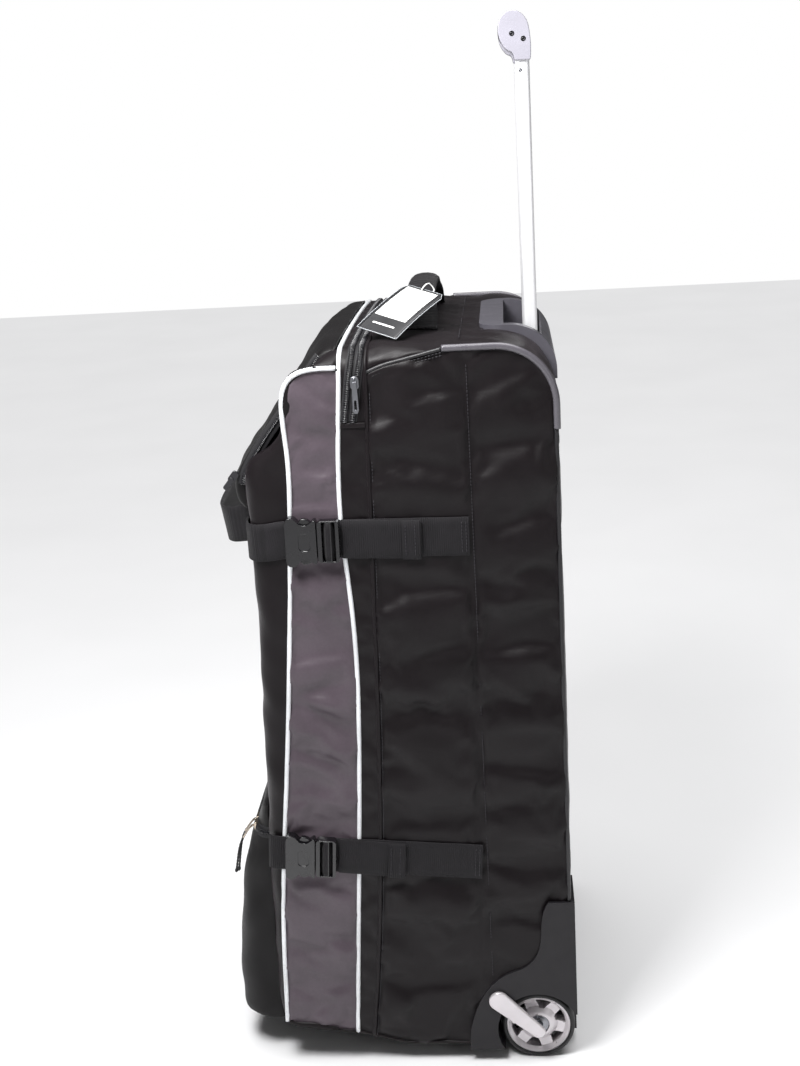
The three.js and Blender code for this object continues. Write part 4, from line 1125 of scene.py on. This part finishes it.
# ---------- wheels ----------
for side, sign in (("right", 1), ("left", -1)):
    def turned(profile, segments=96):
        part = lathe(profile, WHEEL_Y, WHEEL_Z, segments)
        return part if sign > 0 else flipped(part)

    x0, x1, r = float(wheel_low[0]), float(wheel_high[0]), WHEEL_R
    tread = [(r - 4.4, x0), (r - 1.9, x0 + 0.2), (r - 0.7, x0 + 1.2), (r - 0.15, x0 + 3.5), (r, x0 + 7),
             (r, x0 + 10.6), (r - 0.7, x0 + 11.2), (r - 0.7, x0 + 12.8), (r, x0 + 13.4), (r, x1 - 7),
             (r - 0.15, x1 - 3.5),
             (r - 0.7, x1 - 1.2), (r - 1.9, x1 - 0.2), (r - 4.4, x1)]
    build(f"wheel_tyre_{side}", *turned(tread), RUBBER, f"wheel_{side}", [f"tyre_{side}"], "tyre_rubber")
    dish = [(11.3, 157), (16, 156), (24, 160), (29, 156), (33.1, 154.2), (33.1, 174.6), (31.4, 175.2),
            (29.6, 173.2), (27.5, 170.6), (20, 169.8), (16.0, 172.8), (13.5, 174.3), (11.3, 174.3)]
    rim = build(f"wheel_centre_{side}", *turned(dish), SILVER, f"wheel_{side}", [f"wheel_rim_{side}"],
                "silver_plastic")
    windows = []
    for i in range(6):
        middle = math.radians(60 * i + 18)
        outline = []
        for radius, spread in ((28.3, 0.30), (28.3, 0.15), (28.3, 0), (28.3, -0.15), (28.3, -0.30),
                               (25, -0.27), (18.2, -0.14), (18.2, 0.14), (25, 0.27)):
            a = middle + spread
            outline.append((WHEEL_Y + radius * math.cos(a), WHEEL_Z + radius * math.sin(a)))
        hole = prism(outline, 150, 180)
        windows.append(hole if sign > 0 else flipped(hole))
    carve(rim, *windows)
    soften(rim, 0.7, 2, 40)
    race = [(4.2, 157), (10.9, 157), (10.9, 173.2), (9.6, 173.8), (8.8, 172.9), (6.6, 172.9), (6.0, 173.8),
            (4.2, 173.8)]
    build(f"wheel_bearing_{side}", *turned(race, 48), STEEL, f"wheel_{side}", [f"bearing_{side}"],
          "bright_steel")
    low, high = box_mm("wheel_strut_right")
    wide, narrow = (97.0, 75.0, 10.5), (WHEEL_Y, WHEEL_Z, 7.0)
    lean = math.atan2(narrow[1] - wide[1], narrow[0] - wide[0])
    arm = [(wide[0] + wide[2] * math.cos(a), wide[1] + wide[2] * math.sin(a))
           for a in np.linspace(lean + math.pi / 2, lean + 1.5 * math.pi, 20)]
    arm += [(narrow[0] + narrow[2] * math.cos(a), narrow[1] + narrow[2] * math.sin(a))
            for a in np.linspace(lean - math.pi / 2, lean + math.pi / 2, 16)]
    part = prism(arm, float(low[0]), float(high[0]))
    strut = build(f"wheel_arm_{side}", *(part if sign > 0 else flipped(part)), SILVER, "bag",
                  [f"wheel_strut_{side}"], "silver_plastic")
    soften(strut, 1.7, 5, 50)

# ---------- sliders and pulls ----------
def slider(name, node, body, outline, x0, x1, material=NICKEL):
    piece = build(name, *prism(outline, x0, x1), material, body, [node], "bright_steel")
    return soften(piece, 0.8, 3)


low, high = box_mm("main_slider")
middle = (float(low[1] + high[1]) / 2, float(low[2] + high[2]) / 2)
slider("main_slider_body", "main_slider", "main_slider", rounded(8, 12, 3.2, *middle),
       float(low[0]), float(low[0]) + 3.8, STEEL)
bridge = smooth([(low[0] + 3.6, middle[0], middle[1] + 5), (high[0] - 0.9, middle[0], middle[1] + 3.4),
                 (high[0] - 0.9, middle[0], middle[1] - 1), (low[0] + 3.6, middle[0], middle[1] - 3.4)], 6)
build("main_slider_bridge", *tube(bridge, 0.8, 8), STEEL, "main_slider")
low, high = box_mm("main_pull")
y, z0, z1 = float(low[1] + high[1]) / 2, float(low[2]), float(high[2])
tab_outline = [(y - 1.8, z1), (y + 1.8, z1), (y + 2.4, z1 - 6), (y + 2.9, z0 + 3), (y + 1.5, z0),
               (y - 1.5, z0), (y - 2.9, z0 + 3), (y - 2.4, z1 - 6)]
pull = build("main_pull_tab", *prism(tab_outline, float(low[0]), float(high[0])),
             STEEL, "main_pull", ["main_pull"], "bright_steel")
carve(pull, prism(rounded(2.2, 9, 1.0, y, z0 + 8), float(low[0]) - 1, float(high[0]) + 1))
soften(pull, 0.4, 3)
for which, reach in (("inner", 62.0), ("outer", 56.0)):
    low, high = box_mm(f"lower_slider_{which}")
    x = float(low[0] + high[0]) / 2
    body = f"lower_slider_{which}"
    outline = [(x + a, -148.5 + b) for a, b in ((-5, -2), (5, -2), (6, 0), (5, 2), (-5, 2), (-6, 0))]
    piece = build(f"{body}_body", *prism(outline, 256.2, 264.0, axis="z"), NICKEL, body, [body],
                  "bright_steel")
    soften(piece, 0.7, 3)
    line = smooth([(x, -150, 260), (x, -157, 255), (x, -168, 236), (x, -175.2, 260 - reach)], 14)
    split = int(len(line) * 0.55)
    flat_pull = even(line[3:split + 1], 24)
    taper = np.interp(np.arange(24), [0, 3, 18, 23], [0.6, 1.0, 1.0, 0.6])
    shape = slab(4.6, 1.5, 4, 0.4)[None] * np.stack([taper, np.ones(24)], 1)[:, None]
    build(f"{body}_pull", *sweep(flat_pull, shape, side=(1, 0, 0)), NICKEL, body)
    rest = even(line[split - 2:], 40)
    swell = 1 + 0.12 * np.sin(np.arange(40) * 1.9)
    swell[-4:] = [1.5, 1.6, 1.4, 0.7]
    build(f"{body}_cord", *sweep(rest, circle(1.15, 8)[None] * swell[:, None, None]), PUTTY, body)
low, high = box_mm("upper_slider")
centre = (low + high) / 2
tilt = math.atan2(744 - 632, -53 + 145)


def along_slope(points):
    """an outline turned to lie along the sloping zip, about the slider's middle"""
    return [(centre[1] + a * math.cos(tilt) - b * math.sin(tilt),
             centre[2] + a * math.sin(tilt) + b * math.cos(tilt)) for a, b in points]


slider("upper_slider_body", "upper_slider", "upper_slider", along_slope(rounded(12, 7.6, 2.6)),
       float(low[0]), float(high[0]) - 0.6, COIL)
tab_outline = along_slope(rounded(14, 5, 2.2, -8, 0))
upper_tab = build("upper_slider_tab", *prism(tab_outline, float(high[0]) - 0.9, float(high[0]) + 0.4),
                  COIL, "upper_slider")
soften(upper_tab, 0.4)

# ---------- hang tag ----------
tag_across = Vector((24, 38, -11)).normalized()
tag_down = Vector((55, -49.5, -29))
tag_down = (tag_down - tag_across * tag_down.dot(tag_across)).normalized()
tag_out = tag_across.cross(tag_down)
if tag_out.z < 0:
    tag_out.negate()
TAG_TOP, TAG_W, TAG_L = Vector((87, 53.5, 797.5)), 46.0, 79.0


def on_tag(a, b, lift=0.0):
    """a across the card, b down it; the card curls gently"""
    curl = 2.2 * math.sin(math.pi * b / TAG_L) * (1 if b < TAG_L else 0) + 0.6 * math.sin(a / 15)
    return np.array(TAG_TOP + tag_across * a + tag_down * b + tag_out * (curl + lift))


def card(name, a0, a1, b0, b1, lift, thickness, material, notch=0.0):
    across_n, down_n = 17, 25
    top, low_side = [], []
    for b in np.linspace(b0, b1, down_n):
        pinch = notch * max(0.0, 1 - (b - b0) / 7.0)
        for a in np.linspace(a0 + pinch, a1 - pinch, across_n):
            top.append(on_tag(a, b, lift + thickness))
            low_side.append(on_tag(a, b, lift))
    n = across_n * down_n
    faces = grid_faces(down_n, across_n)
    faces += [[v + n for v in f[::-1]] for f in grid_faces(down_n, across_n)]
    border = (list(range(across_n)) + [i * across_n + across_n - 1 for i in range(1, down_n)]
              + [n - 1 - i for i in range(1, across_n)] + [i * across_n for i in range(down_n - 2, 0, -1)])
    faces += [(border[i], border[(i + 1) % len(border)], border[(i + 1) % len(border)] + n, border[i] + n)
              for i in range(len(border))]
    return build(name, np.vstack([top, low_side]), faces, material, "hang_tag")


tag = card("tag_board", -TAG_W / 2, TAG_W / 2, 0, TAG_L, -0.4, 0.8, CARD, 4)
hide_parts("hang_tag")
card("tag_sticker", -19, 17, 3, 56, 0.42, 0.15, LABEL)
card("tag_stripe", -13, 12, 66, 68, 0.42, 0.12, LABEL)
rim_path = [on_tag(a, b, 0.1) for a, b in (
    [(a, 0) for a in np.linspace(-TAG_W / 2 + 4, TAG_W / 2 - 4, 8)]
    + [(TAG_W / 2, b) for b in np.linspace(7, TAG_L, 24)]
    + [(a, TAG_L) for a in np.linspace(TAG_W / 2, -TAG_W / 2, 16)]
    + [(-TAG_W / 2, b) for b in np.linspace(TAG_L, 7, 24)] + [(-TAG_W / 2 + 4, 0)])]
build("tag_edge", *tube(rim_path, 0.42, 6), CARD_EDGE, "hang_tag")
fastener = smooth([on_tag(-2, 5, 0.8), on_tag(-3, -3, 3), on_tag(-2, -9, 2), on_tag(2, -10, -4),
                   on_tag(3, -4, -5), on_tag(1, 4, -1)], 8)
build("tag_fastener", *tube(fastener, 0.7, 6), LABEL, "hang_tag")

# ---------- materials of the CAD nodes that stay visible ----------
KEPT = {
    "back_board": BOARD, "base_board": BOARD, "tube_bracket": PLASTIC, "handle_bezel": BEZEL,
    "grip_bar": SOFT_GRIP, "grip_button": PLASTIC, "button_spring": STEEL, "hang_tag": CARD,
    "main_slider": NICKEL, "main_pull": NICKEL, "lower_slider_inner": NICKEL,
    "lower_slider_outer": NICKEL, "upper_slider": NICKEL, "grab_loop": WEB_X, "top_handle": WEB_X,
}
for side in ("right", "left"):
    for node, material in {
        "outer_tube": ALUMINIUM, "inner_tube": ALUMINIUM, "grip_cap": GRIP, "wheel_housing": PLASTIC,
        "tyre": RUBBER, "wheel_rim": SILVER, "bearing": STEEL, "axle": STEEL, "wheel_strut": SILVER,
        "front_foot": PLASTIC, "upper_strap": WEB, "lower_strap": WEB, "upper_buckle_female": BUCKLE,
        "upper_buckle_male": BUCKLE, "lower_buckle_female": BUCKLE, "lower_buckle_male": BUCKLE,
    }.items():
        KEPT[f"{node}_{side}"] = material
for node, material in KEPT.items():
    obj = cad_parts[node]
    if obj.hide_render:
        continue
    if material in (PLASTIC, BEZEL, SILVER, BOARD):
        soften(obj, 0.6, 2)
    for index in range(max(1, len(obj.material_slots))):
        if obj.material_slots:
            obj.material_slots[index].material = material
        else:
            obj.data.materials.append(material)

# ---------- floor, light and camera ----------
floor_material = Finish("floor_pale", 0xf4f4f5, 0.7)
floor_material.vary(floor_material.noise(400, 2), 0.985, 1.015)
floor_data = bpy.data.meshes.new("floor")
floor_data.from_pydata([(-6, -6, 0), (6, -6, 0), (6, 6, 0), (-6, 6, 0)], [], [(0, 1, 2, 3)])
floor_data.materials.append(floor_material.material)
floor = bpy.data.objects.new("floor", floor_data)
bpy.context.scene.collection.objects.link(floor)

BACKDROP = 1.0  # brightness of the plain backdrop, as the camera sees it
ROOM_LIGHT = 0.1  # what the surroundings add to the lamps
world = bpy.data.worlds.new("studio")
world.use_nodes = True
studio = world.node_tree
seen = studio.nodes.new("ShaderNodeBackground")
seen.inputs["Strength"].default_value = BACKDROP
seen.inputs["Color"].default_value = (1, 1, 1, 1)
studio.nodes["Background"].inputs["Color"].default_value = (1, 1, 1, 1)
studio.nodes["Background"].inputs["Strength"].default_value = ROOM_LIGHT
backdrop = studio.nodes.new("ShaderNodeMixShader")
studio.links.new(studio.nodes.new("ShaderNodeLightPath").outputs["Is Camera Ray"], backdrop.inputs[0])
studio.links.new(studio.nodes["Background"].outputs[0], backdrop.inputs[1])
studio.links.new(seen.outputs[0], backdrop.inputs[2])
studio.links.new(backdrop.outputs[0], studio.nodes["World Output"].inputs[0])
bpy.context.scene.world = world
bpy.context.scene.view_settings.view_transform = "Standard"


def lamp(name, place, target, size, energy):
    light = bpy.data.lights.new(name, "AREA")
    light.size, light.energy = size, energy
    obj = bpy.data.objects.new(name, light)
    obj.location = place
    obj.rotation_euler = (Vector(target) - Vector(place)).to_track_quat("-Z", "Y").to_euler()
    bpy.context.scene.collection.objects.link(obj)


lamp("key", (0.60, -0.25, 1.36), (0.18, -0.02, 0.60), 0.40, 16)
lamp("fill", (2.0, 1.9, 1.3), (0, 0, 0.5), 1.0, 5)
sun_light = bpy.data.lights.new("overhead", "SUN")
sun_light.energy, sun_light.angle = 2.5, math.radians(45)
sun = bpy.data.objects.new("overhead", sun_light)
sun.rotation_euler = (math.radians(-6), math.radians(-4), 0)
bpy.context.scene.collection.objects.link(sun)

CAMERA_PLACE = (1.49658, 0.13161, 0.97319)
AZIMUTH, PITCH, ROLL = (math.radians(a) for a in (94.74, 16.48, 3.398))
towards = Vector((math.sin(AZIMUTH) * math.cos(PITCH), -math.cos(AZIMUTH) * math.cos(PITCH), math.sin(PITCH)))
right = (-towards).cross(Vector((0, 0, 1))).normalized()
up = right.cross(-towards)
across = right * math.cos(ROLL) - up * math.sin(ROLL)
upward = right * math.sin(ROLL) + up * math.cos(ROLL)
camera_data = bpy.data.cameras.new("camera")
camera_data.sensor_fit = "VERTICAL"
camera_data.sensor_height = camera_data.sensor_width = 36.0
camera_data.lens = 49.246
camera_data.clip_start = 0.05
camera = bpy.data.objects.new("camera", camera_data)
camera.matrix_world = Matrix((
    (across.x, upward.x, towards.x, CAMERA_PLACE[0]),
    (across.y, upward.y, towards.y, CAMERA_PLACE[1]),
    (across.z, upward.z, towards.z, CAMERA_PLACE[2]),
    (0, 0, 0, 1)))
bpy.context.scene.collection.objects.link(camera)
bpy.context.scene.camera = camera
